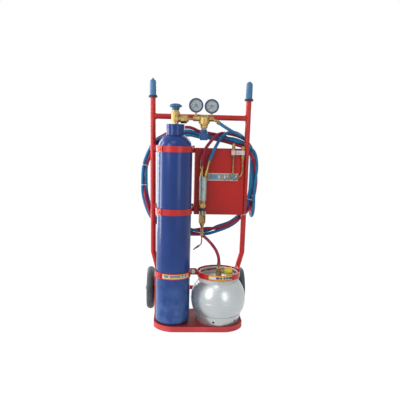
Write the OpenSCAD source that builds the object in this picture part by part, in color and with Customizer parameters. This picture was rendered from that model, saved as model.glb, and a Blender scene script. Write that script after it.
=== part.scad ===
// Two-wheeled hand cart with an oxygen cylinder, a small gas cylinder,
// a pressure regulator, a blowpipe with its twin hoses, and a tool box.
// Millimetres, +Z up, +X to the right, the loading side faces -Y.
// Everything is laid out from the plane of the two uprights, and in_frame()
// moves it so that the origin lies on the floor under the middle of the cart.

/* [Frame] */
// Outer diameter of the frame tube
tube_d = 24; // [22:1:26]
// Wall of the frame tube
tube_wall = 2; // [1.5:0.1:2.5]
// Half the distance between the uprights at their upper ends
upright_x = 212; // [209:1:216]
// Half the distance between the uprights above their inward bend
waist_x = 203; // [200:1:206]
// Half the distance between the uprights where they stand on the tray
foot_x = 183; // [181:1:184]
// Height of the end of the inward bend
bend_low_z = 228; // [220:1:240]
// Height of the start of the inward bend
bend_high_z = 302; // [290:1:315]
// Height of the underside of the left grip
grip_z = 989; // [980:1:1000]
// Length of a grip
grip_len = 85; // [70:1:90]
// Height of the upper crossbar
crossbar_z = 909; // [895:1:920]

/* [Tray and wheels] */
// Width of the tray
tray_w = 386; // [380:1:392]
// Distance from the uprights to the front edge of the tray
tray_front = 214; // [210:1:220]
// Half the straight stretch of the tray's front edge
tray_nose = 115; // [110:1:120]
// Distance from the uprights to the start of the tray's rounded corners
tray_side = 140; // [135:1:145]
// Radius of the tray's front corners
tray_corner_r = 100; // [95:5:120]
// Height of the tray's deck
deck_z = 25; // [20:1:30]
// Thickness of the tray's sheet
tray_t = 3; // [2:0.5:4]
// Radius of a wheel over its tyre
wheel_r = 100; // [96:1:101]
// Width of a tyre
tyre_w = 34; // [31:1:34]
// Distance of the middle of a wheel from the middle of the axle
wheel_x = 213; // [213:0.5:214]
// Distance of the axle's middle to the left of the cart's middle
axle_shift = 3.5; // [0:0.5:3.5]
// Distance of the axle behind the uprights
axle_y = 100; // [98:1:105]
// Height of the axle: the wheels clear the floor until the cart is tipped
axle_z = 101.5; // [101:0.5:106]
// Diameter of the axle
axle_d = 12; // [10:1:14]

/* [Oxygen cylinder] */
// Radius of the oxygen cylinder
oxygen_r = 73; // [70:0.5:73]
// Distance of its axis to the left of the middle
oxygen_x = 111.5; // [111:0.5:113]
// Distance of its axis in front of the uprights
oxygen_y = 135; // [130:1:140]
// Height where its shoulder starts
shoulder_z = 772; // [760:1:780]
// Wall of the oxygen cylinder
oxygen_wall = 5; // [4:0.5:6]
// Height of the top of its neck ring
neck_top_z = 874; // [868:1:876]

/* [Gas cylinder] */
// Radius of the gas cylinder
gas_r = 119; // [117:0.5:120]
// Distance of its axis to the right of the middle
gas_x = 87; // [85:0.5:88]
// Distance of its axis in front of the uprights
gas_y = 120; // [119:1:122]
// Wall of the gas cylinder
gas_wall = 2.5; // [2:0.5:3]
// Height of its middle
gas_mid_z = 126; // [125.5:0.5:127]
// Outer radius of its foot ring on the deck
gas_foot_r = 90; // [88:0.5:90]
// Outer radius of its valve collar
gas_collar_r = 88; // [86:0.5:89]

/* [Straps] */
// Height of a cylinder strap
strap_h = 25; // [20:1:28]
// Thickness of a strap
strap_t = 3; // [2:0.5:3]
// Heights of the middles of the upper, middle and lower strap
upper_strap_z = 772; // [765:1:775]
middle_strap_z = 511; // [505:1:520]
lower_strap_z = 239; // [236:1:242]

/* [Regulator] */
// Height of the outlet of the cylinder valve
outlet_z = 896; // [894:0.5:898]
// Distance of the regulator's axis to the right of the middle
regulator_x = 7.5; // [7:0.5:8]
// Radius of a pressure gauge
gauge_r = 30; // [28:0.5:30]
// Depth of a pressure gauge
gauge_depth = 26; // [22:1:30]

/* [Blowpipe] */
// Distance of the blowpipe's axis to the right of the middle
torch_x = 12; // [10:1:14]
// Distance of the blowpipe's axis in front of the uprights
torch_y = 75; // [75:1:80]
// Radius of the blowpipe's grip
torch_grip_r = 15.5; // [14:0.5:16]

/* [Tool box] */
// Left side of the tool box
box_left = -24; // [-24:0.5:-22]
// Right side of the tool box
box_right = 193; // [190:0.5:193]
// Height of its bottom
box_low = 482; // [480:0.5:488]
// Height of its open top
box_high = 774; // [770:0.5:778]
// Distance of its front before the uprights
box_front = 50; // [45:1:52]
// Thickness of its sheet
box_t = 1.5; // [1:0.5:2]

/* [Hoses] */
// Outer diameter of a hose
hose_d = 14; // [13:0.5:14]

/* [Hidden] */

$fn = 64;
gap = 0.05;  // radial clearance of a fit
eps = 1;     // how far a cut runs past a surface

red = "#d5232b";
brass = "#c29a4b";
steel = "#b9bcc0";
hose_r = hose_d / 2;

// The wheels are the back of the cart and the gas cylinder is its front:
// this puts the origin midway between them.
frame_y = (gas_y + gas_r - axle_y - wheel_r) / 2;
module in_frame() translate([0, frame_y, 0]) children();

// ---------- frame ----------

upright_top_z = grip_z + 38;
lean = atan((upright_x - waist_x) / (upright_top_z - bend_high_z));
function upright_x_at(z) = waist_x + (z - bend_high_z) * tan(lean);
// Places its children on the axis of the right upright, above its bend
module on_upright(z) translate([upright_x_at(z), 0, z]) rotate([0, lean, 0]) children();
module both_sides() {
    children();
    mirror([1, 0, 0]) children();
}

module pipe(length, d, wall) difference() {
    cylinder(d = d, h = length);
    translate([0, 0, -eps]) cylinder(d = d - 2 * wall, h = length + 2 * eps);
}

// A round bar through points, with a ball at each bend
bead = 0.15;
module bar(points, r) {
    for (i = [0 : len(points) - 2]) {
        v = points[i + 1] - points[i];
        translate(points[i]) rotate([0, acos(v[2] / norm(v)), atan2(v[1], v[0])])
            cylinder(r = r, h = norm(v));
    }
    for (i = [1 : len(points) - 2]) translate(points[i]) sphere(r = r + bead);
}

// How far the +Z axis has to be turned about Y to point along v
function turn_of(v) = atan2(v[0], v[2]);

// Middle line of the right upright, longer at both ends by the given amount
function upright_line(extra) = [
    [foot_x, 0, deck_z - extra],
    [foot_x, 0, bend_low_z],
    [waist_x, 0, bend_high_z],
    [upright_x_at(upright_top_z + extra), 0, upright_top_z + extra],
];
module upright() difference() {
    bar(upright_line(0), tube_d / 2);
    bar(upright_line(eps), tube_d / 2 - tube_wall);
}

module upright_right() color(red) in_frame() upright();
module upright_left() color(red) in_frame() mirror([1, 0, 0]) upright();

// The round hollow that an upright leaves in whatever ends against it
module upright_cut() bar(upright_line(eps), tube_d / 2 + gap);

crossbar_end = upright_x_at(crossbar_z) - 3;
module top_crossbar() color(red) in_frame() difference() {
    translate([-crossbar_end, 0, crossbar_z]) rotate([0, 90, 0])
        pipe(2 * crossbar_end, tube_d, tube_wall);
    both_sides() upright_cut();
}

// Flat bars from the left upright to the tool box, behind the oxygen cylinder
rail_h = 25;
rail_t = 6;
rail_zs = [upper_strap_z - 8, middle_strap_z - 11];
module strap_rails() color(red) in_frame() for (z = rail_zs) difference() {
    rail_left = upright_x_at(z) - 3;
    translate([-rail_left, -rail_t / 2, z - rail_h / 2])
        cube([rail_left + box_left - gap, rail_t, rail_h]);
    mirror([1, 0, 0]) upright_cut();
}

// A rectangle with rounded front corners
corner_front = [tray_nose, -tray_front];
corner_back = [tray_w / 2, -tray_side];
corner_chord = corner_back - corner_front;
corner_centre = (corner_front + corner_back) / 2
    + sqrt(pow(tray_corner_r, 2) - pow(norm(corner_chord) / 2, 2)) / norm(corner_chord)
    * [-corner_chord[1], corner_chord[0]];
corner_past = 2;
tray_back = tube_d / 2 + 3;
module tray_outline(inset) difference() {
    translate([inset - tray_w / 2, inset - tray_front])
        square([tray_w - 2 * inset, tray_front + tray_back - 2 * inset]);
    both_sides() difference() {
        translate([tray_nose - corner_past, -tray_front - eps])
            square([tray_w / 2, tray_front - tray_side + eps + corner_past]);
        translate(corner_centre) circle(r = tray_corner_r - inset, $fn = 160);
    }
}

module base_tray() color(red) in_frame() difference() {
    linear_extrude(deck_z) tray_outline(0);
    translate([0, 0, -eps]) linear_extrude(deck_z - tray_t + eps) tray_outline(tray_t);
}

// Axle tube with a gusset to each upright
carrier_d = 20;
gusset_t = 5;
module axle_carrier() color(red) in_frame() difference() {
    union() {
        translate([-foot_x - 10 - axle_shift, axle_y, axle_z]) rotate([0, 90, 0])
            cylinder(d = carrier_d, h = 2 * foot_x + 20);
        for (side = [-1, 1]) translate([side * foot_x - gusset_t / 2, 0, 0])
            rotate([90, 0, 90]) linear_extrude(gusset_t) polygon([
                [tube_d / 2, 40], [tube_d / 2, 200], [tube_d / 2 + 8, 200],
                [axle_y + 8, axle_z + 12], [axle_y + 8, axle_z - 12], [tube_d / 2 + 8, 40],
            ]);
    }
    translate([-foot_x - 20 - axle_shift, axle_y, axle_z]) rotate([0, 90, 0])
        cylinder(d = axle_d + 2 * gap, h = 2 * foot_x + 40);
}

axle_end = wheel_x + tyre_w / 2 + 5;
module axle_rod() color(steel) in_frame()
    translate([-axle_end - axle_shift, axle_y, axle_z]) rotate([0, 90, 0])
    cylinder(d = axle_d, h = 2 * axle_end);

// A washer on each side of each hub and a domed cap on each end of the axle
hub_w = tyre_w + 1;
play = 0.3;
washer_t = 2;
module axle_hardware() color(steel) in_frame() translate([-axle_shift, 0, 0]) both_sides()
    translate([wheel_x, axle_y, axle_z]) rotate([0, 90, 0]) {
        for (z = [-hub_w / 2 - play - washer_t, hub_w / 2 + play]) translate([0, 0, z])
            difference() {
                cylinder(d = 2 * axle_d, h = washer_t);
                translate([0, 0, -eps]) cylinder(d = axle_d + 2 * gap, h = washer_t + 2 * eps);
            }
        translate([0, 0, hub_w / 2 + play + washer_t + gap]) difference() {
            rotate_extrude() intersection() {
                translate([0, -6]) circle(d = 26);
                square([10, 7.4]);
            }
            translate([0, 0, -eps]) cylinder(d = axle_d + 2 * gap, h = 5.2 + eps - 2.5);
        }
    }

// Bent rods behind the uprights and the upper rail, that the hose coil hangs on
hook_r = 4;
hook_reach = 61;
hook_zs = [700, 710];
rail_hook_x = -112;
rail_hook_z = 800;
module upright_hook(side, z) {
    x = side * upright_x_at(z);
    bar([[x, tube_d / 2 + gap, z], [x, hook_reach, z], [x, hook_reach, z + 26]], hook_r);
}
module hose_hooks() color(red) in_frame() {
    upright_hook(1, hook_zs[0]);
    upright_hook(-1, hook_zs[1]);
    y = rail_t / 2 + hook_r + gap;
    bar([[rail_hook_x, y, rail_zs[0] - 9], [rail_hook_x, y, rail_hook_z],
        [rail_hook_x, hook_reach, rail_hook_z], [rail_hook_x, hook_reach, rail_hook_z + 22]], hook_r);
}

// Vinyl grips: a flange below, a plain body, and a round closed end
grip_tip_r = 14;
grip_drop = 5;  // the right grip is pushed on this much further
module grip(low) on_upright(low) difference() {
    rotate_extrude() {
        polygon([[0, 0], [19.5, 0], [20, 1.5], [20, 8], [18.5, 9.5], [grip_tip_r + 0.8, 10.5],
            [grip_tip_r + 0.1, grip_len - grip_tip_r + 0.4], [0, grip_len - grip_tip_r + 0.4]]);
        intersection() {
            translate([0, grip_len - grip_tip_r]) circle(r = grip_tip_r);
            square([grip_tip_r + eps, grip_len + eps]);
        }
    }
    translate([0, 0, -eps]) cylinder(d = tube_d + 2 * gap, h = upright_top_z - low + eps + 0.2);
}
module grips() color("#5b93b8") in_frame() {
    grip(grip_z - grip_drop);
    mirror([1, 0, 0]) grip(grip_z);
}

// ---------- wheels ----------

rim_r = 66;
tyre_crown = 19;
bush_r = 9;
module at_wheel(side) in_frame()
    translate([side * wheel_x - axle_shift, axle_y, axle_z]) rotate([0, side * 90, 0]) children();

module tyre() color("#232526") rotate_extrude($fn = 96) intersection() {
    translate([wheel_r - tyre_crown, 0]) circle(r = tyre_crown);
    translate([rim_r + gap, -tyre_w / 2]) square([wheel_r - rim_r, tyre_w]);
}

// Pressed rim: a channel for the tyre, a dished disc and a hub tube
module rim() color("#6d7370") difference() {
    rotate_extrude($fn = 96) {
        translate([rim_r - 4, -tyre_w / 2 + 3]) square([4, tyre_w - 6]);
        polygon([[15, -4], [30, -4], [rim_r - 4, -2], [rim_r - 4, 2], [30, 4], [15, 4]]);
        translate([0, -hub_w / 2]) square([16, hub_w]);
    }
    translate([0, 0, -hub_w / 2 - eps]) cylinder(r = bush_r + gap, h = hub_w + 2 * eps);
}

module bush() color(brass) translate([0, 0, -hub_w / 2])
    pipe(hub_w, 2 * bush_r, bush_r - axle_d / 2 - gap);

module tyre_left() at_wheel(-1) tyre();
module rim_left() at_wheel(-1) rim();
module bush_left() at_wheel(-1) bush();
module tyre_right() at_wheel(1) tyre();
module rim_right() at_wheel(1) rim();
module bush_right() at_wheel(1) bush();

// ---------- straps ----------

strap_r = oxygen_r + 0.4;
arm_r = strap_r + strap_t + 0.1;
module at_oxygen(z = 0) translate([-oxygen_x, -oxygen_y, z]) children();
module at_gas(z = 0) translate([gas_x, -gas_y, z]) children();

// Part of a flat ring, between two angles round the axis
module ring_part(inner, t, from, to) intersection() {
    difference() {
        circle(r = inner + t, $fn = 96);
        circle(r = inner, $fn = 96);
    }
    polygon([[0, 0], for (k = [0 : 6]) let (a = from + (to - from) * k / 6)
        2 * inner * [cos(a), sin(a)]]);
}
// Stands an outline upright as a strip of the given height, middle at z = 0
module strip(h) translate([0, 0, -h / 2]) linear_extrude(h) children();

screw_angle = 217;
screw_hole_r = 3.2;
module screw_cut() rotate([0, 0, screw_angle]) translate([oxygen_r - 5, 0, 0]) rotate([0, 90, 0])
    cylinder(r = screw_hole_r, h = 20);

// The front hoop from its left lap, the straight leg at its right, and the ear that turns out
module hoop_strap(ear_y, ear_len, bolt_x, hole_r) difference() {
    strip(strap_h) {
        ring_part(strap_r, strap_t, 206, 360);
        square_from(strap_r, 0, strap_r + strap_t, oxygen_y - ear_y);
        square_from(strap_r, oxygen_y - ear_y - strap_t, strap_r + ear_len, oxygen_y - ear_y);
    }
    screw_cut();
    translate([bolt_x, oxygen_y, 0]) rotate([90, 0, 0]) cylinder(r = hole_r, h = oxygen_y);
}
module square_from(x0, y0, x1, y1) translate([x0, y0]) square([x1 - x0, y1 - y0]);

rail_ear = oxygen_x - strap_r + box_left - 1;
ear_bolt_x = strap_r + strap_t + 4.8;
module rail_straps() color(red) in_frame() {
    for (z = [upper_strap_z, middle_strap_z]) at_oxygen(z)
        hoop_strap(rail_t / 2, rail_ear, ear_bolt_x, screw_hole_r);
}

// The lower strap's ear meets the lug of the gas cylinder's hoop
link_y = 104;
link_bolt_x = oxygen_x - 24;
link_hole_r = 5.2;
module lower_strap() color(red) in_frame() at_oxygen(lower_strap_z)
    hoop_strap(link_y, 27, link_bolt_x, link_hole_r);

// Bent arms from the left upright round the cylinder's left side
arm_end_angle = 228;
module strap_arm(z) difference() {
    at_oxygen(z) difference() {
        strip(strap_h) {
            foot = upright_x_at(z) - oxygen_x;
            ring_part(arm_r, strap_t, 180, arm_end_angle);
            if (z > bend_high_z) {
                square_from(-arm_r - strap_t, 0, -arm_r, oxygen_y - tube_d / 2 - gap);
                square_from(-foot - 3, oxygen_y - tube_d / 2 - strap_t - gap,
                    -arm_r, oxygen_y - tube_d / 2 - gap);
            } else square_from(-arm_r - strap_t, 0, -arm_r, oxygen_y - tube_d / 2 + 4);
        }
        screw_cut();
    }
    mirror([1, 0, 0]) upright_cut();
}
module strap_arms() color(red) in_frame()
    for (z = [upper_strap_z, middle_strap_z, lower_strap_z]) strap_arm(z);

// Hoop round the gas cylinder's collar, with a lug at its left and an arm to the right upright
hoop_r = 90.5;
hoop_h = 24;
lug_left = strap_r + strap_t + 0.6 - oxygen_x;
hoop_z = 236;
module gas_hoop() color(red) in_frame() difference() {
    translate([0, 0, hoop_z]) {
        translate([gas_x, -gas_y]) strip(hoop_h) {
            ring_part(hoop_r, strap_t, 0, 180);
            ring_part(hoop_r, strap_t, 180, 360);
        }
        translate([gas_x, -gas_y]) strip(hoop_h)
            square_from(hoop_r, 0, hoop_r + strap_t, gas_y - tube_d / 2 + 4);
        strip(26) difference() {
            square_from(lug_left, -link_y - 2 * strap_t - 0.1, gas_x, -link_y - strap_t - 0.1);
            translate([gas_x, -gas_y]) circle(r = hoop_r + strap_t / 2, $fn = 96);
        }
    }
    translate([link_bolt_x - oxygen_x, -60, lower_strap_z]) rotate([90, 0, 0])
        cylinder(r = link_hole_r, h = 60);
    upright_cut();
}

module hex(af, h) cylinder(d = af / cos(30), h = h, $fn = 6);
// A bolt along -Z from its head at the origin's upper side, with a nut further down
module bolt(d, head_af, head_h, grip, nut_h) {
    hex(head_af, head_h);
    translate([0, 0, -grip - nut_h - 2]) cylinder(d = d, h = grip + nut_h + 2.5);
    translate([0, 0, -grip - nut_h - gap]) difference() {
        hex(head_af, nut_h);
        translate([0, 0, -eps]) cylinder(d = d - 0.1, h = nut_h + 2 * eps);
    }
}

rack_x = 163.5;
rack_z = 758.5;
module fasteners() color(steel) in_frame() {
    for (z = [upper_strap_z, middle_strap_z, lower_strap_z]) at_oxygen(z)
        rotate([0, 0, screw_angle]) translate([arm_r + strap_t + gap, 0, 0]) rotate([0, 90, 0]) {
            cylinder(d = 12, h = 1.6);
            translate([0, 0, 1.6]) cylinder(d1 = 12, d2 = 7, h = 2);
            translate([0, 0, -2 * strap_t - 0.1]) cylinder(d = 6, h = 2 * strap_t + 0.2);
        }
    for (z = [upper_strap_z, middle_strap_z])
        translate([ear_bolt_x - oxygen_x, -rail_t / 2 - strap_t - gap, z]) rotate([90, 0, 0]) {
            rotate([0, 0, 30]) hex(8, 4);
            translate([0, 0, -strap_t]) cylinder(d = 5, h = strap_t + 0.5);
        }
    translate([link_bolt_x - oxygen_x, -link_y - 2 * strap_t - 0.2, lower_strap_z])
        rotate([90, 0, 0]) bolt(10, 17, 7, 2 * strap_t + 0.2, 8);
    translate([rack_x, -box_front - 13.1, rack_z]) rotate([90, 0, 0]) {
        cylinder(d = 10, h = 3);
        translate([0, 0, -13]) cylinder(d = 5, h = 13.5);
    }
    translate([torch_x, -box_front - 3.1, 520]) rotate([90, 0, 0]) cylinder(d = 9, h = 2.5);
}

// ---------- tool box ----------

box_back = 10;
module toolbox() color(red) in_frame() difference() {
    translate([box_left, -box_front, box_low])
        cube([box_right - box_left, box_front + box_back, box_high - box_low]);
    translate([box_left + box_t, -box_front + box_t, box_low + box_t])
        cube([box_right - box_left - 2 * box_t, box_front + box_back - 2 * box_t, box_high]);
}

// ---------- oxygen cylinder and its valve ----------

shoulder_r = 64;
heel_r = 16;
neck_r = 25;
neck_bore_r = 10;
module oxygen_profile(inset) intersection() {
    union() {
        square([oxygen_r - inset, shoulder_z]);
        translate([oxygen_r - shoulder_r, shoulder_z]) circle(r = shoulder_r - inset, $fn = 96);
    }
    union() {
        translate([0, deck_z + heel_r]) square([oxygen_r, 900]);
        translate([oxygen_r - heel_r, deck_z + heel_r]) circle(r = heel_r - inset);
        translate([0, deck_z + inset]) square([oxygen_r - heel_r, 900]);
    }
    square([oxygen_r, 900]);
}
module oxygen_cylinder() color("#2b3f93") in_frame() at_oxygen() difference() {
    union() {
        rotate_extrude($fn = 96) oxygen_profile(0);
        translate([0, 0, shoulder_z + 40]) cylinder(r = neck_r, h = neck_top_z - 4 - shoulder_z - 40);
    }
    rotate_extrude($fn = 96) oxygen_profile(oxygen_wall);
    translate([0, 0, shoulder_z]) cylinder(r = neck_bore_r + gap, h = 200);
}

neck_ring_r = 37.5;
neck_ring_low = shoulder_z + 57;
neck_lip_h = 20;
module neck_ring() color("#2b3f93") in_frame() at_oxygen() difference() {
    union() {
        translate([0, 0, neck_ring_low]) cylinder(r = neck_ring_r, h = neck_top_z - neck_ring_low - eps);
        translate([0, 0, neck_top_z - neck_lip_h]) cylinder(r = neck_ring_r + 1.5, h = neck_lip_h);
    }
    translate([0, 0, neck_ring_low - eps]) cylinder(r = neck_r + gap, h = 60);
    rotate_extrude($fn = 96) oxygen_profile(-2 * gap);
}

valve_r = 17.5;
valve_top = 931;
spindle_r = 4;
outlet_r = 11;
nut_from = 23;
module cylinder_valve() color(brass) in_frame() at_oxygen() difference() {
    union() {
        translate([0, 0, neck_top_z - 34]) cylinder(r = neck_bore_r, h = 34);
        translate([0, 0, neck_top_z - 4 + gap]) cylinder(r = 13, h = 20);
        translate([0, 0, neck_top_z + 12]) cylinder(r = valve_r, h = valve_top - neck_top_z - 18);
        translate([0, 0, valve_top - 6]) hex(24, 6);
        translate([0, 0, outlet_z]) rotate([0, 90, 0]) cylinder(r = outlet_r, h = nut_from + 10);
        translate([0, 0, outlet_z]) rotate([0, 90, 0]) cylinder(r = 13.5, h = nut_from - 3);
    }
    translate([0, 0, outlet_z + 6]) cylinder(r = spindle_r + gap, h = 80);
    translate([0, 0, outlet_z]) rotate([0, 90, 0]) cylinder(r = 3, h = 60);
    translate([0, 0, neck_top_z - 60]) cylinder(r = 3, h = outlet_z - neck_top_z + 60);
}

module valve_spindle() color(steel) in_frame() at_oxygen() translate([0, 0, outlet_z + 8]) {
    cylinder(r = spindle_r, h = 51);
}

// Handwheel: a hub and a domed rim with finger hollows
wheel_low = 932;
module valve_handwheel() color("#1f5f9a") in_frame() at_oxygen(wheel_low) difference() {
    union() {
        rotate_extrude() polygon([[0, 0], [15.5, 0], [17, 10], [25, 12.5], [26.5, 15.5],
            [25.5, 19.5], [20, 23.5], [10, 26.5], [0, 27]]);
    }
    for (a = [0 : 45 : 315]) rotate([0, 0, a]) translate([31.5, 0, 4]) cylinder(r = 7.5, h = 30);
    translate([0, 0, -eps]) cylinder(r = spindle_r + gap, h = 25);
}

// ---------- regulator ----------

nut_af = 32;
nut_len = 34;
nipple_r = 4.5;
module along_outlet(x) translate([x, -oxygen_y, outlet_z]) rotate([0, 90, 0]) children();
nut_x = -oxygen_x + nut_from - 2;
module union_nut() color(brass) in_frame() along_outlet(nut_x) difference() {
    union() {
        hex(nut_af, nut_len - 8);
        translate([0, 0, nut_len - 8]) cylinder(r1 = 14.5, r2 = 10, h = 8);
    }
    translate([0, 0, -eps]) cylinder(r = outlet_r + gap, h = nut_len - 6 + eps);
    cylinder(r = nipple_r + gap, h = nut_len + eps);
}

block_z = 900.5;
block_af = 22;
body_r = 23;
body_low = 878;
gauge_xs = [-27.5, 37.5];
gauge_zs = [952.5, 950];
gauge_front = 150;
outlet_block_x = regulator_x + 40.5;
module regulator_body() color(brass) in_frame() difference() {
    union() {
        along_outlet(nut_x + 14) cylinder(r = 10, h = 8);
        along_outlet(nut_x + 14) cylinder(r = nipple_r, h = 50);
        translate([-38, -oxygen_y, block_z]) rotate([0, 90, 0]) hex(block_af, 26);
        translate([-38, -oxygen_y, block_z]) rotate([0, 90, 0]) cylinder(r = 8, h = 70);
        translate([28, -oxygen_y, block_z]) rotate([0, 90, 0]) hex(block_af, outlet_block_x - 28);
        translate([regulator_x, -oxygen_y, body_low]) {
            cylinder(r = body_r, h = 28);
            translate([0, 0, 6]) cylinder(r = body_r + 1.5, h = 6);
            translate([0, 0, 28]) cylinder(r1 = body_r, r2 = 14, h = 5);
            translate([0, 0, 31]) hex(20, 6.5);
        }
        for (i = [0, 1]) translate([gauge_xs[i], -oxygen_y, block_z]) {
            cylinder(r = 5.5, h = gauge_zs[i] - gauge_r - block_z - gap);
            translate([0, 0, 8]) hex(14, 7);
        }
    }
    along_outlet(nut_x) cylinder(r = 2, h = 60);
    translate([regulator_x, -oxygen_y, body_low - eps]) cylinder(r = 18, h = 14);
}

// Spring housing below the body, with the thread of the adjusting screw
screw_r = 5;
bonnet_low = 858;
module regulator_bonnet() color(brass) in_frame() translate([regulator_x, -oxygen_y, 0]) difference() {
    rotate_extrude() polygon([[0, bonnet_low], [12, bonnet_low], [14.5, bonnet_low + 3],
        [15.5, bonnet_low + 12], [17.9, body_low - 4], [17.9, body_low + 10], [0, body_low + 10]]);
    translate([0, 0, bonnet_low - eps]) cylinder(r = screw_r + gap, h = 6);
    translate([0, 0, bonnet_low + 4]) cylinder(r = 12, h = 20);
}

knob_low = 810;
knob_high = 855;
module adjusting_screw() color(steel) in_frame() translate([regulator_x, -oxygen_y, 0]) {
    translate([0, 0, knob_low + 8]) cylinder(r = screw_r, h = bonnet_low + 10 - knob_low - 8);
    translate([0, 0, knob_high + gap]) cylinder(r = 9.5, h = bonnet_low - knob_high - 0.5);
}
module adjusting_knob() color("#2f6cb5") in_frame() translate([regulator_x, -oxygen_y, 0]) difference() {
    rotate_extrude() polygon([[0, knob_low], [14, knob_low], [17.3, knob_low + 3], [18.2, knob_low + 14],
        [17.5, knob_low + 28], [13.5, knob_low + 33], [13, knob_high], [0, knob_high]]);
    for (a = [0 : 30 : 330]) rotate([0, 0, a]) translate([19.4, 0, knob_low - eps])
        cylinder(r = 2.2, h = 60);
    translate([0, 0, knob_low + 7]) cylinder(r = screw_r + gap, h = 60);
}

module at_gauge(i) in_frame() translate([gauge_xs[i], -gauge_front, gauge_zs[i]]) rotate([-90, 0, 0])
    children();
gauge_rim = 6.5;
lens_t = 2;
dial_depth = 9;
module gauge_cases() color("#3d4f70") for (i = [0, 1]) at_gauge(i) difference() {
    rotate_extrude() polygon([[0, 0], [gauge_r - 1.5, 0], [gauge_r, 1.5], [gauge_r, 7],
        [gauge_r - 1, 8], [gauge_r - 1, gauge_depth - 3], [gauge_r - 4, gauge_depth], [0, gauge_depth]]);
    translate([0, 0, -eps]) cylinder(r = gauge_r - gauge_rim, h = dial_depth + 2 + eps);
    translate([0, 0, dial_depth]) cylinder(r = gauge_r - gauge_rim - 3, h = gauge_depth - dial_depth - 3);
}
module gauge_dials() color("#cfd9e2") for (i = [0, 1]) at_gauge(i) difference() {
    translate([0, 0, dial_depth]) cylinder(r = gauge_r - gauge_rim - gap, h = 2 - gap);
    translate([0, 0, dial_depth - eps]) cylinder(r = 1.5 + gap, h = 6);
}
module gauge_lenses() color("#dfe9f2", 0.4) for (i = [0, 1]) at_gauge(i)
    translate([0, 0, 1]) cylinder(r = gauge_r - gauge_rim - gap, h = lens_t);

// Needle at its zero stop, 45 degrees below the left of the dial
module needle() color("#20242a") rotate([0, 0, 135]) {
    translate([0, 0, dial_depth - 3.5]) cylinder(r = 3, h = 1.5);
    translate([0, 0, dial_depth - 3.5]) cylinder(r = 1.5, h = 8);
    translate([-7, -1, dial_depth - 3]) cube([27, 2, 0.8]);
}
module needle_left() at_gauge(0) needle();
module needle_right() at_gauge(1) needle();

// Elbow at the outlet, down to the hose tail
tail_turn = 121;
tail_len = 12;
elbow = [outlet_block_x + 5, -oxygen_y, block_z - 7];
tail_end = elbow + tail_len * [sin(tail_turn), 0, cos(tail_turn)];
module outlet_fitting() color(brass) in_frame() {
    translate([outlet_block_x + gap, elbow[1], elbow[2]]) rotate([0, 90, 0]) {
        cylinder(r = 6, h = 2);
        cylinder(r = 4.5, h = 5 - gap);
    }
    translate(elbow) sphere(r = 4.5 + bead);
    translate(elbow) rotate([0, tail_turn, 0]) {
        cylinder(r = 4.5, h = tail_len);
        translate([0, 0, 3]) hex(11, 4);
    }
}

// ---------- gas cylinder ----------

// A ball, flattened below and above by two shallow domes
gas_dome_r = 260;
gas_top_z = 226;
gas_sole_r = 231;
gas_sole_z = 32;
module gas_profile(inset) intersection() {
    translate([0, gas_mid_z]) circle(r = gas_r - inset, $fn = 120);
    translate([0, gas_top_z - gas_dome_r]) circle(r = gas_dome_r - inset, $fn = 200);
    translate([0, gas_sole_z + gas_sole_r]) circle(r = gas_sole_r - inset, $fn = 200);
    square([gas_r, 400]);
}
module gas_cylinder() color(steel) in_frame() at_gas() difference() {
    rotate_extrude($fn = 96) gas_profile(0);
    rotate_extrude($fn = 96) gas_profile(gas_wall);
    translate([0, 0, gas_mid_z]) cylinder(r = 11 + gap, h = 120);
}

// Cone that carries the shell, with six holes near its middle
module gas_foot_ring() color(steel) in_frame() at_gas() difference() {
    rotate_extrude($fn = 96) polygon([
        [gas_foot_r, deck_z], [gas_foot_r + 12.5, deck_z + 37.5], [gas_foot_r + 11.2, deck_z + 38],
        [gas_foot_r + 7.9, deck_z + 32.6], [gas_foot_r - 3, deck_z],
    ]);
    for (a = [0 : 60 : 300]) rotate([0, 0, a - 105]) translate([gas_foot_r - 10, 0, deck_z + 18])
        rotate([0, 90, 0]) cylinder(r = 4.8, h = 30);
}

// Guard round the valve: a rolled rim above three long slots
collar_low = 198;
collar_high = 239.5;
slot_z = 230;
module gas_collar() color("#d9dbdc") in_frame() at_gas() difference() {
    rotate_extrude($fn = 96) {
        polygon([[gas_collar_r, collar_low], [gas_collar_r, collar_low + 24],
            [gas_collar_r - 2.5, collar_high], [gas_collar_r - 5, collar_high],
            [gas_collar_r - 2.5, collar_low + 24], [gas_collar_r - 2.5, collar_low]]);
        translate([gas_collar_r - 5, collar_high]) circle(r = 3.5);
    }
    rotate_extrude($fn = 96) gas_profile(-gap);
    for (a = [8, 50, 130]) translate([0, 0, slot_z]) strip(7)
        ring_part(gas_collar_r - 10, 20, a, a == 50 ? 126 : a + 38);
}

gas_arm_z = 243;
gas_tail_top = 268;
module gas_valve() color(brass) in_frame() at_gas() difference() {
    union() {
        translate([0, 0, gas_top_z - 16]) cylinder(r = 11, h = 20);
        translate([0, 0, gas_top_z + gap]) cylinder(r = 14, h = 6);
        translate([0, 0, gas_top_z + 2]) cylinder(r = 11.5, h = 22);
        translate([0, 0, gas_top_z + 23]) hex(17, 8);
        translate([0, 0, gas_top_z + 30]) cylinder(r = 4.5, h = gas_tail_top - gas_top_z - 30);
        translate([0, 0, gas_arm_z]) rotate([0, 90, 0]) cylinder(r = 8, h = 23);
        translate([17, 0, gas_arm_z]) rotate([0, 90, 0]) hex(15, 6);
    }
    translate([12, 0, gas_arm_z]) rotate([0, 90, 0]) cylinder(r = 3 + gap, h = 30);
    translate([0, 0, gas_top_z - 20]) cylinder(r = 3, h = gas_arm_z - gas_top_z + 20);
}

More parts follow.
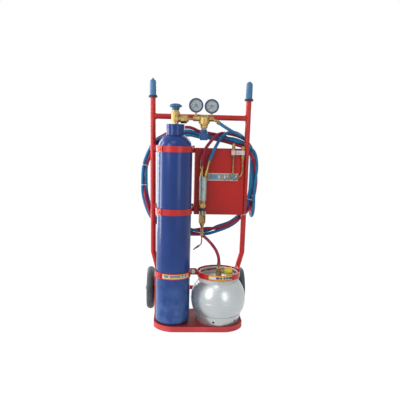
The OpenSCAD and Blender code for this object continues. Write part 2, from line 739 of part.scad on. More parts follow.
// Knob with four wings on its spindle
gas_knob_x = 25;
module gas_valve_knob() color("#e3d640") in_frame() at_gas(gas_arm_z) translate([gas_knob_x, 0, 0])
    rotate([0, 90, 0]) {
        translate([0, 0, 3]) cylinder(r = 12, h = 30);
        for (a = [0 : 90 : 270]) rotate([0, 0, a]) translate([0, -3.5, 0]) {
            translate([9, 0, 12]) cube([5.8, 7, 21]);
            translate([14.8, 3.5, 12]) cylinder(r = 3.5, h = 21);
        }
        cylinder(r = 9, h = 4);
        translate([0, 0, -12.5]) cylinder(r = 3, h = 14);
    }

// ---------- blowpipe ----------

module at_torch(z = 0) translate([torch_x, -torch_y, z]) children();
handle_low = 545;
handle_high = 653;
block_low = 502;

// Fluted grip sleeve
module torch_handle() color("#8fa39b") in_frame() at_torch() difference() {
    rotate_extrude() polygon([[0, handle_low + gap], [torch_grip_r - 2, handle_low + gap],
        [torch_grip_r, handle_low + 3], [torch_grip_r, handle_high - 4], [torch_grip_r - 3, handle_high],
        [0, handle_high]]);
    for (a = [0 : 36 : 324]) rotate([0, 0, a + 18]) translate([torch_grip_r + 1.3, 0, handle_low + 8])
        cylinder(r = 2.5, h = handle_high - handle_low - 16);
    translate([0, 0, handle_low - eps]) cylinder(r = 6 + gap, h = 18);
}

// Fuel inlet straight up, oxygen inlet longer and leaning to the right
fuel_inlet = [6.5, -75, 653];
fuel_inlet_len = 34;
oxygen_inlet = [21.5, -75, 653];
oxygen_inlet_lean = 12.8;
oxygen_inlet_len = 60;
module inlet(length) {
    translate([0, 0, -1]) cylinder(r = 5, h = length - 11);
    translate([0, 0, 4]) hex(12.5, length * 0.42);
    translate([0, 0, length - 14]) cylinder(r = 4.2, h = 14);
}
module torch_inlets() color(brass) in_frame() {
    translate(fuel_inlet) difference() {
        inlet(fuel_inlet_len);
        translate([-10, -10, -20]) cube([20, 20, 20 + gap]);
    }
    difference() {
        translate(oxygen_inlet) rotate([0, oxygen_inlet_lean, 0]) inlet(oxygen_inlet_len);
        translate([0, oxygen_inlet[1] - 10, oxygen_inlet[2] - 20]) cube([50, 20, 20 + gap]);
    }
}

front_knob_z = 528.5;
module torch_valve_block() color(brass) in_frame() at_torch() difference() {
    union() {
        translate([0, 0, handle_low - 2]) cylinder(r = 6, h = 18);
        translate([0, 0, block_low + 13]) cylinder(r = 13, h = handle_low - block_low - 13);
        translate([0, 0, 481.5]) cylinder(r = 9, h = handle_low - 481.5);
        translate([0, 0, holder_low + holder_h + gap]) cylinder(r = 12, h = 1.1);
        translate([0, -8, front_knob_z]) rotate([90, 0, 0]) cylinder(r = 7, h = 9);
    }
    translate([0, -6, front_knob_z]) rotate([90, 0, 0]) cylinder(r = 2.5 + gap, h = 30);
}

// Round knurled knob of the front valve
module front_knob() color(brass) in_frame() at_torch(front_knob_z) rotate([90, 0, 0]) difference() {
    union() {
        translate([0, 0, 8]) cylinder(r = 2.5, h = 12);
        translate([0, 0, 17.5]) rotate_extrude() polygon([[0, 0], [11, 0], [12.8, 1.5], [12.8, 8],
            [11, 10], [6, 10], [5, 8.5], [0, 8.5]]);
    }
    for (a = [0 : 20 : 340]) rotate([0, 0, a]) translate([13.6, 0, 15]) cylinder(r = 1.2, h = 20);
}

// Blue valve ring round the body below the front knob
module control_ring() color("#2b4470") in_frame() at_torch(block_low) difference() {
    rotate_extrude() polygon([[9 + gap, 0.3], [11.5, 0.3], [12.7, 1.5], [12.7, 11.2], [11.5, 12.6],
        [9 + gap, 12.6]]);
    for (a = [0 : 24 : 336]) rotate([0, 0, a + 12]) translate([13.6, 0, -eps]) cylinder(r = 1.4, h = 20);
}

module torch_union_nut() color("#a8823c") in_frame() at_torch() difference() {
    union() {
        translate([0, 0, 447]) hex(26, 34);
        translate([0, 0, 434]) cylinder(r1 = 8, r2 = 12, h = 13);
    }
    translate([0, 0, 430]) cylinder(r = 6.5 + gap, h = 60);
}

// Middle line of the thin, bent end of the neck, from the mixer down
neck_line = [[0, 0, 386], [0, 0, 366], [-2.5, 0, 352.5], [-10.5, 0, 346.5]];
module torch_neck() color("#b5703f") in_frame() at_torch() {
    translate([0, 0, 391]) cylinder(r = 6.5, h = 90);
    translate([0, 0, 385]) cylinder(r1 = 3, r2 = 6.5, h = 6);
    bar(neck_line, 3);
}

// Nozzle at the end of the bent neck
module torch_tip() color("#9aa0a2") in_frame() at_torch() translate(neck_line[3])
    rotate([0, turn_of(neck_line[3] - neck_line[2]), 0]) difference() {
        rotate_extrude() polygon([[0, gap], [4, gap], [4.8, 2], [4.8, 13], [3.8, 16], [3.2, 28],
            [2, 33], [0, 33]]);
        translate([0, 0, 20]) cylinder(r = 0.8, h = 20);
    }

// Fork that the blowpipe hangs in, open to the front, with a plate up the tool box
holder_low = 484;
holder_h = 17;
fork_inner = 9.4;
fork_outer = 15;
module torch_holder() color(steel) in_frame() {
    translate([torch_x, -torch_y, holder_low + holder_h / 2]) strip(holder_h) {
        ring_part(fork_inner, fork_outer - fork_inner, 0, 180);
        for (x = [-fork_outer, fork_inner]) square_from(x, -10, x + fork_outer - fork_inner, 0);
    }
    translate([torch_x - 8, -torch_y + 12, holder_low]) cube([16, torch_y - box_front - 12 - gap, holder_h]);
    translate([torch_x - 8, -box_front - 3 - gap, holder_low]) cube([16, 3, 46]);
}

// ---------- spare nozzles ----------

nozzle_xs = [143.5, 183.5];
nozzle_y = -61;
rack_h = 19;
nozzle_nut_r = 7.5;
module nozzle_rack() color("#d7d9da") in_frame() difference() {
    union() {
        for (x = nozzle_xs) translate([x, nozzle_y, rack_z - rack_h / 2])
            cylinder(r = nozzle_nut_r + 2.5, h = rack_h);
        translate([nozzle_xs[0], -box_front - 13, rack_z - rack_h / 2])
            cube([nozzle_xs[1] - nozzle_xs[0], 2.5, rack_h]);
        translate([rack_x - 5, -box_front - 12, rack_z - rack_h / 2]) cube([10, 12 - gap, rack_h]);
    }
    for (x = nozzle_xs) translate([x, nozzle_y, rack_z - 20]) cylinder(r = nozzle_nut_r + gap, h = 40);
    translate([rack_x, -40, rack_z]) rotate([90, 0, 0]) cylinder(r = 2.5 + gap, h = 40);
}

nozzle_tube_r = 3.5;
// Lower and upper end of each spare nozzle's nut, and the bend of both tubes below it
nozzle_heads = [[742, 788], [733, 777]];
nozzle_bend = [[0, 0, 672], [-6, 0, 658], [-20, 0, 647.5]];
tip_len = 24;
module nozzle_head(low, high) {
    translate([0, 0, low - 8]) cylinder(r1 = nozzle_tube_r, r2 = nozzle_nut_r, h = 8);
    translate([0, 0, low]) cylinder(r = nozzle_nut_r, h = high - low);
    translate([0, 0, high]) cylinder(r1 = nozzle_nut_r, r2 = 5, h = 10);
}
module spare_nozzles() color("#b0853f") in_frame() {
    for (i = [0, 1]) translate([nozzle_xs[i], nozzle_y, 0]) {
        nozzle_head(nozzle_heads[i][0], nozzle_heads[i][1]);
        bar(concat([[0, 0, nozzle_heads[i][0] - 3]], nozzle_bend), nozzle_tube_r);
        translate(nozzle_bend[2]) rotate([0, turn_of(nozzle_bend[2] - nozzle_bend[1]), 0])
            cylinder(r1 = nozzle_tube_r, r2 = 1.8, h = tip_len);
    }
}

// ---------- hoses ----------

// Smooth curve through points: Catmull-Rom, one value at u from 0 to 1 between b and c
function between(a, b, c, d, u) =
    0.5 * (2 * b + (c - a) * u + (2 * a - 5 * b + 4 * c - d) * u * u
    + (3 * b - 3 * c + d - a) * u * u * u);
function on_route(p, t) =
    let (n = len(p) - 1, i = min(floor(t), n - 1))
    between(p[max(i - 1, 0)], p[i], p[i + 1], p[min(i + 2, n)], t - i);
function on_loop(p, t) =
    let (n = len(p), i = floor(t) % n)
    between(p[(i + n - 1) % n], p[i], p[(i + 1) % n], p[(i + 2) % n], t - floor(t));
function unit(v) = v / norm(v);

// A tube swept along a route, as one polyhedron with closed ends.
// Each ring's first axis is the last one's, turned as little as possible.
tube_sides = 10;
function ring_axes(dirs, i, a) =
    i == len(dirs) ? [] :
    let (b = unit(a - (a * dirs[i]) * dirs[i])) concat([b], ring_axes(dirs, i + 1, b));
module swept_tube(route, steps_each, r) {
    n = round((len(route) - 1) * steps_each);
    centres = [for (k = [0 : n]) on_route(route, k / steps_each)];
    dirs = [for (k = [0 : n]) unit(centres[min(k + 1, n)] - centres[max(k - 1, 0)])];
    first = abs(dirs[0] * [1, 0, 0]) < 0.9 ? [1, 0, 0] : [0, 1, 0];
    axes = ring_axes(dirs, 0, first);
    rings = [for (k = [0 : n], s = [0 : tube_sides - 1])
        let (a = 360 * s / tube_sides, u = axes[k], v = cross(dirs[k], axes[k]))
        centres[k] + r * (cos(a) * u + sin(a) * v)];
    last = n * tube_sides;
    polyhedron(rings, concat(
        [[for (s = [0 : tube_sides - 1]) s]],
        [[for (s = [tube_sides - 1 : -1 : 0]) last + s]],
        [for (k = [0 : n - 1], s = [0 : tube_sides - 1])
            let (s2 = (s + 1) % tube_sides, o = k * tube_sides)
            [o + s, o + tube_sides + s, o + tube_sides + s2, o + s2]]));
}

// Middle line of the hanging coil, clockwise from its upper right: x, z and half width
coil_line = [
    [205, 789, 20], [236, 755, 20], [248, 700, 21], [248, 630, 20.5], [240, 560, 20],
    [215, 490, 17.5], [160, 435, 16], [97, 408, 18.5], [33, 393, 21.5], [-50, 391, 20],
    [-145, 416, 17], [-205, 455, 17], [-240, 540, 17], [-247.5, 620, 16], [-237, 710, 18],
    [-190, 795, 21], [-70, 845, 25], [0, 832, 20.5], [90, 820, 18], [160, 804, 19],
];
coil_front = 13;
coil_depth = 40;
coil_steps = 4;
function coil_edge(t, side) =
    let (p = on_loop(coil_line, t), q = on_loop(coil_line, t + 0.05),
         d = unit([q[0] - p[0], q[1] - p[1]]))
    [p[0], p[1]] + side * p[2] * [-d[1], d[0]];
module coil_outline(side) polygon([for (k = [0 : len(coil_line) * coil_steps - 1])
    coil_edge(k / coil_steps, side)]);
module hose_coil() color("#3b4f7c") in_frame() translate([0, coil_front + coil_depth, 0])
    rotate([90, 0, 0]) linear_extrude(coil_depth) difference() {
        coil_outline(1);
        coil_outline(-1);
    }

fuel_end = fuel_inlet + [0, 0, fuel_inlet_len];
inlet_way = [sin(oxygen_inlet_lean), 0, cos(oxygen_inlet_lean)];
oxygen_end = oxygen_inlet + oxygen_inlet_len * inlet_way;
tail_way = [sin(tail_turn), 0, cos(tail_turn)];
oxygen_lead_route = [
    tail_end, tail_end + 15 * tail_way, [88, -126, 872], [101, -104, 866], [124, -72, 855],
    [149.5, -40, 844], [175.7, -8, 833], [196, 17, 821], [212, 27, 802], [225, 32, 780],
    [232, 33, 755],
];
fuel_lead_route = [
    [gas_x, -gas_y, gas_tail_top], [gas_x, -gas_y, 288], [84, -117, 309], [75, -103, 331],
    [61, -80, 349], [45, -52, 363], [28, -24, 374], [10, 0, 382], [-10, 17, 388],
];
oxygen_torch_route = [
    [244, 14, 565], [251, 6, 525], [251, 15, 492], [251, 39, 469], [251, 71, 460],
    [251, 103, 469], [251, 127, 492], [251, 136, 525], [249, 130, 563], [246, 105, 610],
    [243, 80, 657], [242, 70, 700], [239, 67, 740], [230, 62, 776], [212, 54, 808],
    [189, 44, 832], [166, 34, 844], [143.4, 24, 847], [123.8, 9, 843.6], [104.7, -8, 834.4],
    [87, -28, 817], [71, -50, 792], [57, -64, 766], [45, -72, 740],
    oxygen_end + 12 * inlet_way, oxygen_end,
];
fuel_torch_route = [
    [254, 32, 570], [251, 21.5, 525], [251, 28, 501], [251, 46, 482],
    [251, 71, 475], [251, 96, 482], [251, 114, 501], [251, 121, 525], [254, 114, 563],
    [257, 94, 610], [259, 78, 657], [259, 74, 700], [254, 76, 740], [241, 79, 778],
    [217, 77, 808], [185, 69, 826], [153, 53, 835], [127, 33, 839], [109, 17, 841],
    [94, 2, 840.5], [76, -15, 834], [58.2, -33, 820.4], [40.1, -49, 799.7], [22.3, -64, 775.9],
    [10.5, -73, 745.7], fuel_end + [0, 0, 32], fuel_end + [0, 0, 16], fuel_end,
];

module oxygen_lead() color("#3f6f9e") in_frame() swept_tube(oxygen_lead_route, 1, hose_r);
module fuel_lead() color("#c02a3d") in_frame() swept_tube(fuel_lead_route, 1, hose_r);
module oxygen_torch_hose() color("#2f6fae") in_frame() swept_tube(oxygen_torch_route, 1, hose_r);
module fuel_torch_hose() color("#c02a3d") in_frame() swept_tube(fuel_torch_route, 1, hose_r);

// Crimped ferrules on the hose ends
ferrule_len = 12;
module ferrule() pipe(ferrule_len, hose_d + 2.4, 1);
module hose_clamps() color(steel) in_frame() {
    translate(tail_end) rotate([0, tail_turn, 0]) ferrule();
    translate([gas_x, -gas_y, gas_tail_top]) ferrule();
    translate(fuel_end) ferrule();
    translate(oxygen_end) rotate([0, oxygen_inlet_lean, 0]) ferrule();
}

base_tray();
upright_left();
upright_right();
top_crossbar();
strap_rails();
axle_carrier();
axle_rod();
axle_hardware();
hose_hooks();
grips();
tyre_left();
rim_left();
bush_left();
tyre_right();
rim_right();
bush_right();
rail_straps();
lower_strap();
strap_arms();
gas_hoop();
fasteners();
toolbox();
oxygen_cylinder();
neck_ring();
cylinder_valve();
valve_spindle();
valve_handwheel();
union_nut();
regulator_body();
regulator_bonnet();
adjusting_screw();
adjusting_knob();
gauge_cases();
gauge_dials();
gauge_lenses();
needle_left();
needle_right();
outlet_fitting();
gas_cylinder();
gas_foot_ring();
gas_collar();
gas_valve();
gas_valve_knob();
torch_handle();
torch_inlets();
torch_valve_block();
front_knob();
control_ring();
torch_union_nut();
torch_neck();
torch_tip();
torch_holder();
nozzle_rack();
spare_nozzles();
hose_clamps();
hose_coil();
oxygen_lead();
fuel_lead();
oxygen_torch_hose();
fuel_torch_hose();
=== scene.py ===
from math import cos, radians, sin, tau

import bmesh
import bpy
from mathutils import Matrix, Vector


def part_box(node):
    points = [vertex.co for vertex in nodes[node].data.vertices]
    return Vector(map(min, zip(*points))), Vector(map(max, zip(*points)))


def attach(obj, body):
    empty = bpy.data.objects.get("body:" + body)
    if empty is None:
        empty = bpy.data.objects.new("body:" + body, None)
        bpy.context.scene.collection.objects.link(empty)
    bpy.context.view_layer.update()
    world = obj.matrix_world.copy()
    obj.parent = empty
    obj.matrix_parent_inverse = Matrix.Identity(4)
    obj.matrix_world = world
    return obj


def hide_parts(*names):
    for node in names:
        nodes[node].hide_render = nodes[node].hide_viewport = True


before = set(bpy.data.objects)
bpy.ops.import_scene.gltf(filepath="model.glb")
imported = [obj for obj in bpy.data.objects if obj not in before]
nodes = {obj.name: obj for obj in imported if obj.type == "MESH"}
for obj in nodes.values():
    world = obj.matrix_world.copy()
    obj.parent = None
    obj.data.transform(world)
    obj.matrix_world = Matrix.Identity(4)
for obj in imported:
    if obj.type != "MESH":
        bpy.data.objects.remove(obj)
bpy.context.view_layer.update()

# Sizes are in millimetres as in part.scad, measured from the plane of the uprights,
# and at() turns such a point into the frame's metres.
FRAME_Y = 19.5


def at(x, y, z):
    return Vector((x, y + FRAME_Y, z)) / 1000


def unit(v):
    return v / v.length


def add_object(name, data):
    made = bpy.data.objects.new(name, data)
    bpy.context.scene.collection.objects.link(made)
    return made


# ---------- camera ----------

# Solved from the photograph: its size, focal length and centre in pixels, and angles in radians
IMAGE = 400
FOCAL = 513.7
CENTRE = (202.5, 203.1)
CAMERA_PLACE = (-113.7, -2301, 837.8)
YAW, PITCH, ROLL = 0.0565, 0.1346, 0.0236
SENSOR_W = 36
CLIP_END = 50


def make_camera():
    data = bpy.data.cameras.new("camera")
    camera = add_object("camera", data)
    ahead = Vector((sin(YAW) * cos(PITCH), cos(YAW) * cos(PITCH), -sin(PITCH)))
    right = Vector((cos(YAW), -sin(YAW), 0))
    up = right.cross(ahead)
    right, up = cos(ROLL) * right + sin(ROLL) * up, cos(ROLL) * up - sin(ROLL) * right
    turn = Matrix((right, up, -ahead)).transposed()
    camera.matrix_world = Matrix.Translation(at(*CAMERA_PLACE)) @ turn.to_4x4()
    data.sensor_width = SENSOR_W
    data.lens = SENSOR_W * FOCAL / IMAGE
    data.shift_x = (IMAGE / 2 - CENTRE[0]) / IMAGE
    data.shift_y = (CENTRE[1] - IMAGE / 2) / IMAGE
    data.clip_end = CLIP_END
    bpy.context.scene.camera = camera


make_camera()

# ---------- shader nodes ----------

# Sockets of the mix node that carry colours
MIX_A, MIX_B, MIX_RESULT = 6, 7, 2


class Shader:
    """A material's node tree with short helpers."""

    def __init__(self, name, color, rough, metal=0.0, **inputs):
        self.material = bpy.data.materials.new(name)
        self.material.use_nodes = True
        self.tree = self.material.node_tree
        self.bsdf = self.tree.nodes["Principled BSDF"]
        self.set(self.bsdf, "Base Color", (*color, 1))
        self.set(self.bsdf, "Roughness", rough)
        self.set(self.bsdf, "Metallic", metal)
        for key, value in inputs.items():
            self.set(self.bsdf, key.replace("_", " "), value)
        self.place = self.add("ShaderNodeTexCoord").outputs["Object"]

    def add(self, kind, **settings):
        node = self.tree.nodes.new(kind)
        for key, value in settings.items():
            setattr(node, key, value)
        return node

    def set(self, node, socket, value):
        target = node.inputs[socket]
        if isinstance(value, bpy.types.NodeSocket):
            self.tree.links.new(value, target)
        else:
            target.default_value = value

    def scaled(self, scale, source=None):
        node = self.add("ShaderNodeMapping")
        self.set(node, "Vector", source or self.place)
        self.set(node, "Scale", scale)
        return node.outputs["Vector"]

    def noise(self, scale, detail=4, rough=0.55, where=None):
        node = self.add("ShaderNodeTexNoise")
        self.set(node, "Vector", where or self.place)
        self.set(node, "Scale", scale)
        self.set(node, "Detail", detail)
        self.set(node, "Roughness", rough)
        return node.outputs["Fac"]

    def ramp(self, fac, low, high):
        """Black up to low, white from high."""
        node = self.add("ShaderNodeValToRGB")
        self.set(node, "Fac", fac)
        ends = node.color_ramp.elements
        ends[0].position, ends[1].position = low, high
        return node.outputs["Color"]

    def bands(self, fac, stops):
        """Flat bands of colour, each from its stop to the next."""
        node = self.add("ShaderNodeValToRGB")
        self.set(node, "Fac", fac)
        ramp = node.color_ramp
        ramp.interpolation = "CONSTANT"
        for i, (place, tone) in enumerate(stops):
            stop = ramp.elements[i] if i < 2 else ramp.elements.new(place)
            stop.position = place
            stop.color = (*tone, 1)
        return node.outputs["Color"]

    def math(self, op, a, b=0.0, clamp=False):
        node = self.add("ShaderNodeMath", operation=op, use_clamp=clamp)
        self.set(node, 0, a)
        self.set(node, 1, b)
        return node.outputs[0]

    def mix(self, fac, a, b):
        node = self.add("ShaderNodeMix", data_type="RGBA")
        self.set(node, 0, fac)
        self.set(node, MIX_A, a if isinstance(a, bpy.types.NodeSocket) else (*a, 1))
        self.set(node, MIX_B, b if isinstance(b, bpy.types.NodeSocket) else (*b, 1))
        return node.outputs[MIX_RESULT]

    def axis(self, name):
        node = self.add("ShaderNodeSeparateXYZ")
        self.set(node, 0, self.place)
        return node.outputs[name]

    def color(self, value):
        self.set(self.bsdf, "Base Color", value)

    def rough(self, fac, low, high):
        """Roughness from low to high as fac goes from 0 to 1."""
        node = self.add("ShaderNodeMapRange")
        self.set(node, "Value", fac)
        self.set(node, "To Min", low)
        self.set(node, "To Max", high)
        self.set(self.bsdf, "Roughness", node.outputs[0])

    def span(self, value, start, end):
        """0 at start and 1 at end, held beyond them."""
        node = self.add("ShaderNodeMapRange")
        self.set(node, "Value", value)
        self.set(node, "From Min", start)
        self.set(node, "From Max", end)
        return node.outputs[0]

    def bump(self, height, distance, strength=1.0):
        node = self.add("ShaderNodeBump")
        self.set(node, "Height", height)
        self.set(node, "Distance", distance)
        self.set(node, "Strength", strength)
        self.set(self.bsdf, "Normal", node.outputs[0])


def paint(name, color, shade, rough, coat, chips=None):
    """Sprayed gloss paint: cloudy tone, faint orange peel and, with chips, scuffed spots."""
    s = Shader(name, color, rough, Specular_IOR_Level=0.3, Coat_Weight=coat, Coat_Roughness=0.12)
    cloud = s.ramp(s.noise(9), 0.3, 0.7)
    tone = s.mix(cloud, shade, color)
    if chips:
        spots = s.ramp(s.noise(55, detail=8, rough=0.7), 0.69, 0.73)
        tone = s.mix(s.math("MULTIPLY", spots, 0.75), tone, chips)
    s.color(tone)
    s.rough(s.noise(30), rough - 0.06, rough + 0.1)
    s.bump(s.noise(260, detail=2), 0.0002, 0.25)
    return s.material


# Scale of the tool marks along each axis, and of rubber's grain
TOOL_MARKS = (40, 40, 700)
RUBBER_GRAIN = 420


def machined(name, color, shade, rough):
    """Turned or cast metal: stained tone and fine tool marks."""
    s = Shader(name, color, rough, 1.0)
    s.color(s.mix(s.ramp(s.noise(60, detail=6), 0.35, 0.68), shade, color))
    marks = s.noise(1.0, detail=3, where=s.scaled(TOOL_MARKS))
    s.rough(marks, rough - 0.08, rough + 0.16)
    s.bump(marks, 0.00015, 0.4)
    return s.material


def rubber(name, color, shade, rough):
    """Rubber, vinyl or moulded plastic: slow changes of tone and a fine grain."""
    s = Shader(name, color, rough, Specular_IOR_Level=0.3)
    s.color(s.mix(s.ramp(s.noise(14, detail=5), 0.3, 0.72), shade, color))
    s.rough(s.noise(40), rough - 0.08, rough + 0.12)
    s.bump(s.noise(RUBBER_GRAIN, detail=2), 0.0003, 0.35)
    return s.material


RED = paint("red_paint", (0.56, 0.018, 0.013), (0.42, 0.012, 0.012), 0.32, 0.15,
            chips=(0.34, 0.05, 0.045))
BOX_RED = paint("box_red", (0.45, 0.007, 0.002), (0.33, 0.005, 0.004), 0.36, 0.06)
STEEL = machined("zinc_steel", (0.4, 0.4, 0.39), (0.24, 0.24, 0.24), 0.4)
BRASS = machined("brass", (0.54, 0.38, 0.15), (0.28, 0.18, 0.07), 0.44)
DARK_BRASS = machined("dark_brass", (0.36, 0.24, 0.1), (0.18, 0.12, 0.05), 0.46)
COPPER = machined("copper", (0.5, 0.27, 0.15), (0.24, 0.12, 0.07), 0.44)
BRONZE = machined("bronze", (0.45, 0.3, 0.15), (0.28, 0.18, 0.08), 0.45)
NICKEL = machined("nickel", (0.3, 0.29, 0.27), (0.14, 0.14, 0.13), 0.4)
RACK = paint("rack_paint", (0.72, 0.56, 0.55), (0.55, 0.42, 0.42), 0.4, 0.05)
RIM = paint("rim_paint", (0.13, 0.16, 0.18), (0.07, 0.09, 0.1), 0.45, 0.05,
            chips=(0.25, 0.24, 0.22))
GRIP = rubber("grip_vinyl", (0.08, 0.215, 0.37), (0.052, 0.15, 0.275), 0.4)
KNOB_BLUE = rubber("knob_blue", (0.022, 0.1, 0.28), (0.014, 0.06, 0.18), 0.38)
WHEEL_BLUE = rubber("wheel_blue", (0.04, 0.15, 0.27), (0.025, 0.09, 0.18), 0.38)
KNOB_DARK = rubber("knob_dark", (0.02, 0.045, 0.12), (0.012, 0.03, 0.08), 0.35)
YELLOW = rubber("knob_yellow", (0.85, 0.7, 0.06), (0.7, 0.52, 0.04), 0.34)
HOSE_BLUE = rubber("hose_blue", (0.018, 0.22, 0.46), (0.01, 0.11, 0.26), 0.42)
HOSE_RED = rubber("hose_red", (0.38, 0.016, 0.06), (0.24, 0.012, 0.04), 0.42)
TIE = rubber("tie_nylon", (0.62, 0.66, 0.7), (0.48, 0.52, 0.56), 0.4)
HANDLE = machined("handle_grey", (0.4, 0.46, 0.44), (0.27, 0.33, 0.31), 0.5)
CASE = paint("gauge_case", (0.05, 0.085, 0.15), (0.03, 0.05, 0.1), 0.34, 0.15)
# The flanges are of the grips' own vinyl; their dark tone is painted shade.
SHADED_FLANGE = rubber("grip_flange_shade", (0.05, 0.03, 0.06), (0.03, 0.02, 0.04), 0.45)
NEEDLE = paint("needle_paint", (0.015, 0.015, 0.018), (0.02, 0.02, 0.02), 0.4, 0.0)

# Places that shaders refer to, in metres: where the oxygen cylinder's paler patches start and are
# full, the right and lower end of the painted screws, and just under the tray's deck
PALE_FROM, PALE_FULL = 0.3, 0.08
LEFT_SCREWS_X, LEFT_SCREWS_Z = -0.165, 0.2
DECK_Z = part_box("base_tray")[1][2] - 0.0015
# The axle's middle, and how closely the tyre's rings follow each other, in radians to a metre
AXLE = (0, 100, 101.5)
TYRE_RINGS = 1500


def cylinder_paint():
    """Blue enamel, a little paler in patches towards its foot, with fine vertical marks."""
    s = Shader("blue_paint", (0.006, 0.034, 0.19), 0.3, Specular_IOR_Level=0.15,
               Coat_Weight=0.35, Coat_Roughness=0.13)
    cloud = s.ramp(s.noise(7, detail=5), 0.3, 0.72)
    tone = s.mix(cloud, (0.004, 0.028, 0.15), (0.008, 0.042, 0.21))
    # Paler in patches towards the foot.
    low = s.span(s.axis("Z"), PALE_FROM, PALE_FULL)
    patches = s.math("MULTIPLY", low, s.ramp(s.noise(24, detail=6), 0.25, 0.75))
    tone = s.mix(s.math("MULTIPLY", patches, 1.1, clamp=True), tone, (0.05, 0.12, 0.33))
    s.color(tone)
    marks = s.noise(1.0, detail=4, where=s.scaled((160, 160, 6)))
    s.rough(marks, 0.22, 0.4)
    s.bump(s.noise(180, detail=2), 0.0003, 0.25)
    return s.material


def tray_paint():
    """Red paint of the tray: pinker on its skirt as a painted sheen, and dark on its deck as
    painted shade.
    """
    s = Shader("tray_paint", (0.5, 0.04, 0.04), 0.5, Specular_IOR_Level=0.25)
    cloud = s.ramp(s.noise(9), 0.3, 0.7)
    # The skirt's pink tone is a painted sheen on the red paint.
    skirt = s.mix(cloud, (0.5, 0.05, 0.056), (0.62, 0.075, 0.085))
    # The deck's dark tones are painted shade, under and between the cylinders.
    deck_shade_mottle = s.ramp(s.noise(22, detail=7), 0.3, 0.7)
    deck = s.mix(deck_shade_mottle, (0.17, 0.014, 0.016), (0.3, 0.02, 0.02))
    s.color(s.mix(s.math("GREATER_THAN", s.axis("Z"), DECK_Z), skirt, deck))
    s.rough(s.noise(30), 0.45, 0.7)
    s.bump(s.noise(200, detail=3), 0.0003, 0.35)
    return s.material


def shell_paint():
    """Aluminium paint: satin and softly mottled."""
    s = Shader("silver_paint", (0.6, 0.62, 0.62), 0.3, 0.6, Specular_IOR_Level=0.45)
    mottle = s.noise(18, detail=6)
    broad = s.noise(5, detail=3)
    tone = s.mix(s.ramp(broad, 0.35, 0.7), (0.44, 0.48, 0.49), (0.54, 0.57, 0.57))
    tone = s.mix(s.math("MULTIPLY", s.ramp(mottle, 0.58, 0.78), 0.35), tone, (0.38, 0.4, 0.41))
    s.color(tone)
    s.rough(mottle, 0.2, 0.38)
    s.bump(s.noise(90, detail=3), 0.0006, 0.3)
    return s.material


def tyre_rubber():
    """Grey rubber, dusty in places, with fine moulded rings round the axle."""
    s = Shader("tyre_rubber", (0.08, 0.1, 0.115), 0.55, Specular_IOR_Level=0.3)
    dust = s.ramp(s.noise(14, detail=5), 0.3, 0.72)
    s.color(s.mix(dust, (0.045, 0.06, 0.068), (0.095, 0.12, 0.135)))
    s.rough(s.noise(40), 0.45, 0.68)
    away = s.add("ShaderNodeVectorMath", operation="SUBTRACT")
    s.set(away, 0, s.place)
    s.set(away, 1, at(*AXLE))
    radius = s.add("ShaderNodeVectorMath", operation="LENGTH")
    s.set(radius, 0, s.scaled((0, 1, 1), away.outputs[0]))
    rings = s.math("SINE", s.math("MULTIPLY", radius.outputs["Value"], TYRE_RINGS))
    s.bump(rings, 0.0004, 0.5)
    return s.material


def bolt_zinc():
    """Bright zinc, with red overspray on the screws at the left of the straps."""
    s = Shader("bolt_zinc", (0.4, 0.4, 0.39), 0.4, 1.0)
    zinc = s.mix(s.ramp(s.noise(60, detail=6), 0.35, 0.68), (0.24, 0.24, 0.24), (0.44, 0.44, 0.43))
    leftward = s.math("LESS_THAN", s.axis("X"), LEFT_SCREWS_X)
    raised = s.math("GREATER_THAN", s.axis("Z"), LEFT_SCREWS_Z)
    painted = s.math("MULTIPLY", leftward, raised)
    s.color(s.mix(s.math("MULTIPLY", painted, 0.9), zinc, (0.62, 0.07, 0.04)))
    s.rough(s.noise(120), 0.32, 0.52)
    return s.material


# Middle band of a printed strip, as shares of its height, and its blocks to a metre
MIDDLE_LOW, MIDDLE_HIGH = 0.3, 0.72
BLOCKS = 160


def label(name, low, high, bands, blocks):
    """A printed strip: plain bands up its height, and along the middle one blocks of colour."""
    s = Shader(name, bands[0][1], 0.42, Specular_IOR_Level=0.3)
    height = s.span(s.axis("Z"), low / 1000, high / 1000)
    block = s.add("ShaderNodeTexWhiteNoise", noise_dimensions="1D")
    s.set(block, "W", s.math("FLOOR", s.math("MULTIPLY", s.axis("X"), BLOCKS)))
    print_tone = s.bands(block.outputs["Value"], blocks)
    above = s.math("GREATER_THAN", height, MIDDLE_LOW)
    middle = s.math("MULTIPLY", above, s.math("LESS_THAN", height, MIDDLE_HIGH))
    tone = s.mix(middle, s.bands(height, bands), print_tone)
    # The print is worn in patches.
    patches = s.ramp(s.noise(70, detail=6), 0.62, 0.72)
    s.color(s.mix(s.math("MULTIPLY", patches, 0.5), tone, (0.3, 0.2, 0.2)))
    s.rough(s.noise(50), 0.34, 0.5)
    return s.material


def lens_glass():
    """Clear glass with faint smears."""
    s = Shader("lens", (0.95, 0.98, 1.0), 0.04, Alpha=0.12, IOR=1.45)
    s.rough(s.noise(40, detail=3), 0.02, 0.1)
    return s.material


BLUE = cylinder_paint()
TYRE = tyre_rubber()
BOLTS = bolt_zinc()
SILVER = shell_paint()
TRAY = tray_paint()
LENS = lens_glass()
COLLAR = paint("collar_paint", (0.6, 0.6, 0.59), (0.46, 0.46, 0.46), 0.4, 0.1)
DIAL = paint("dial", (0.29, 0.37, 0.41), (0.23, 0.3, 0.34), 0.5, 0.0)

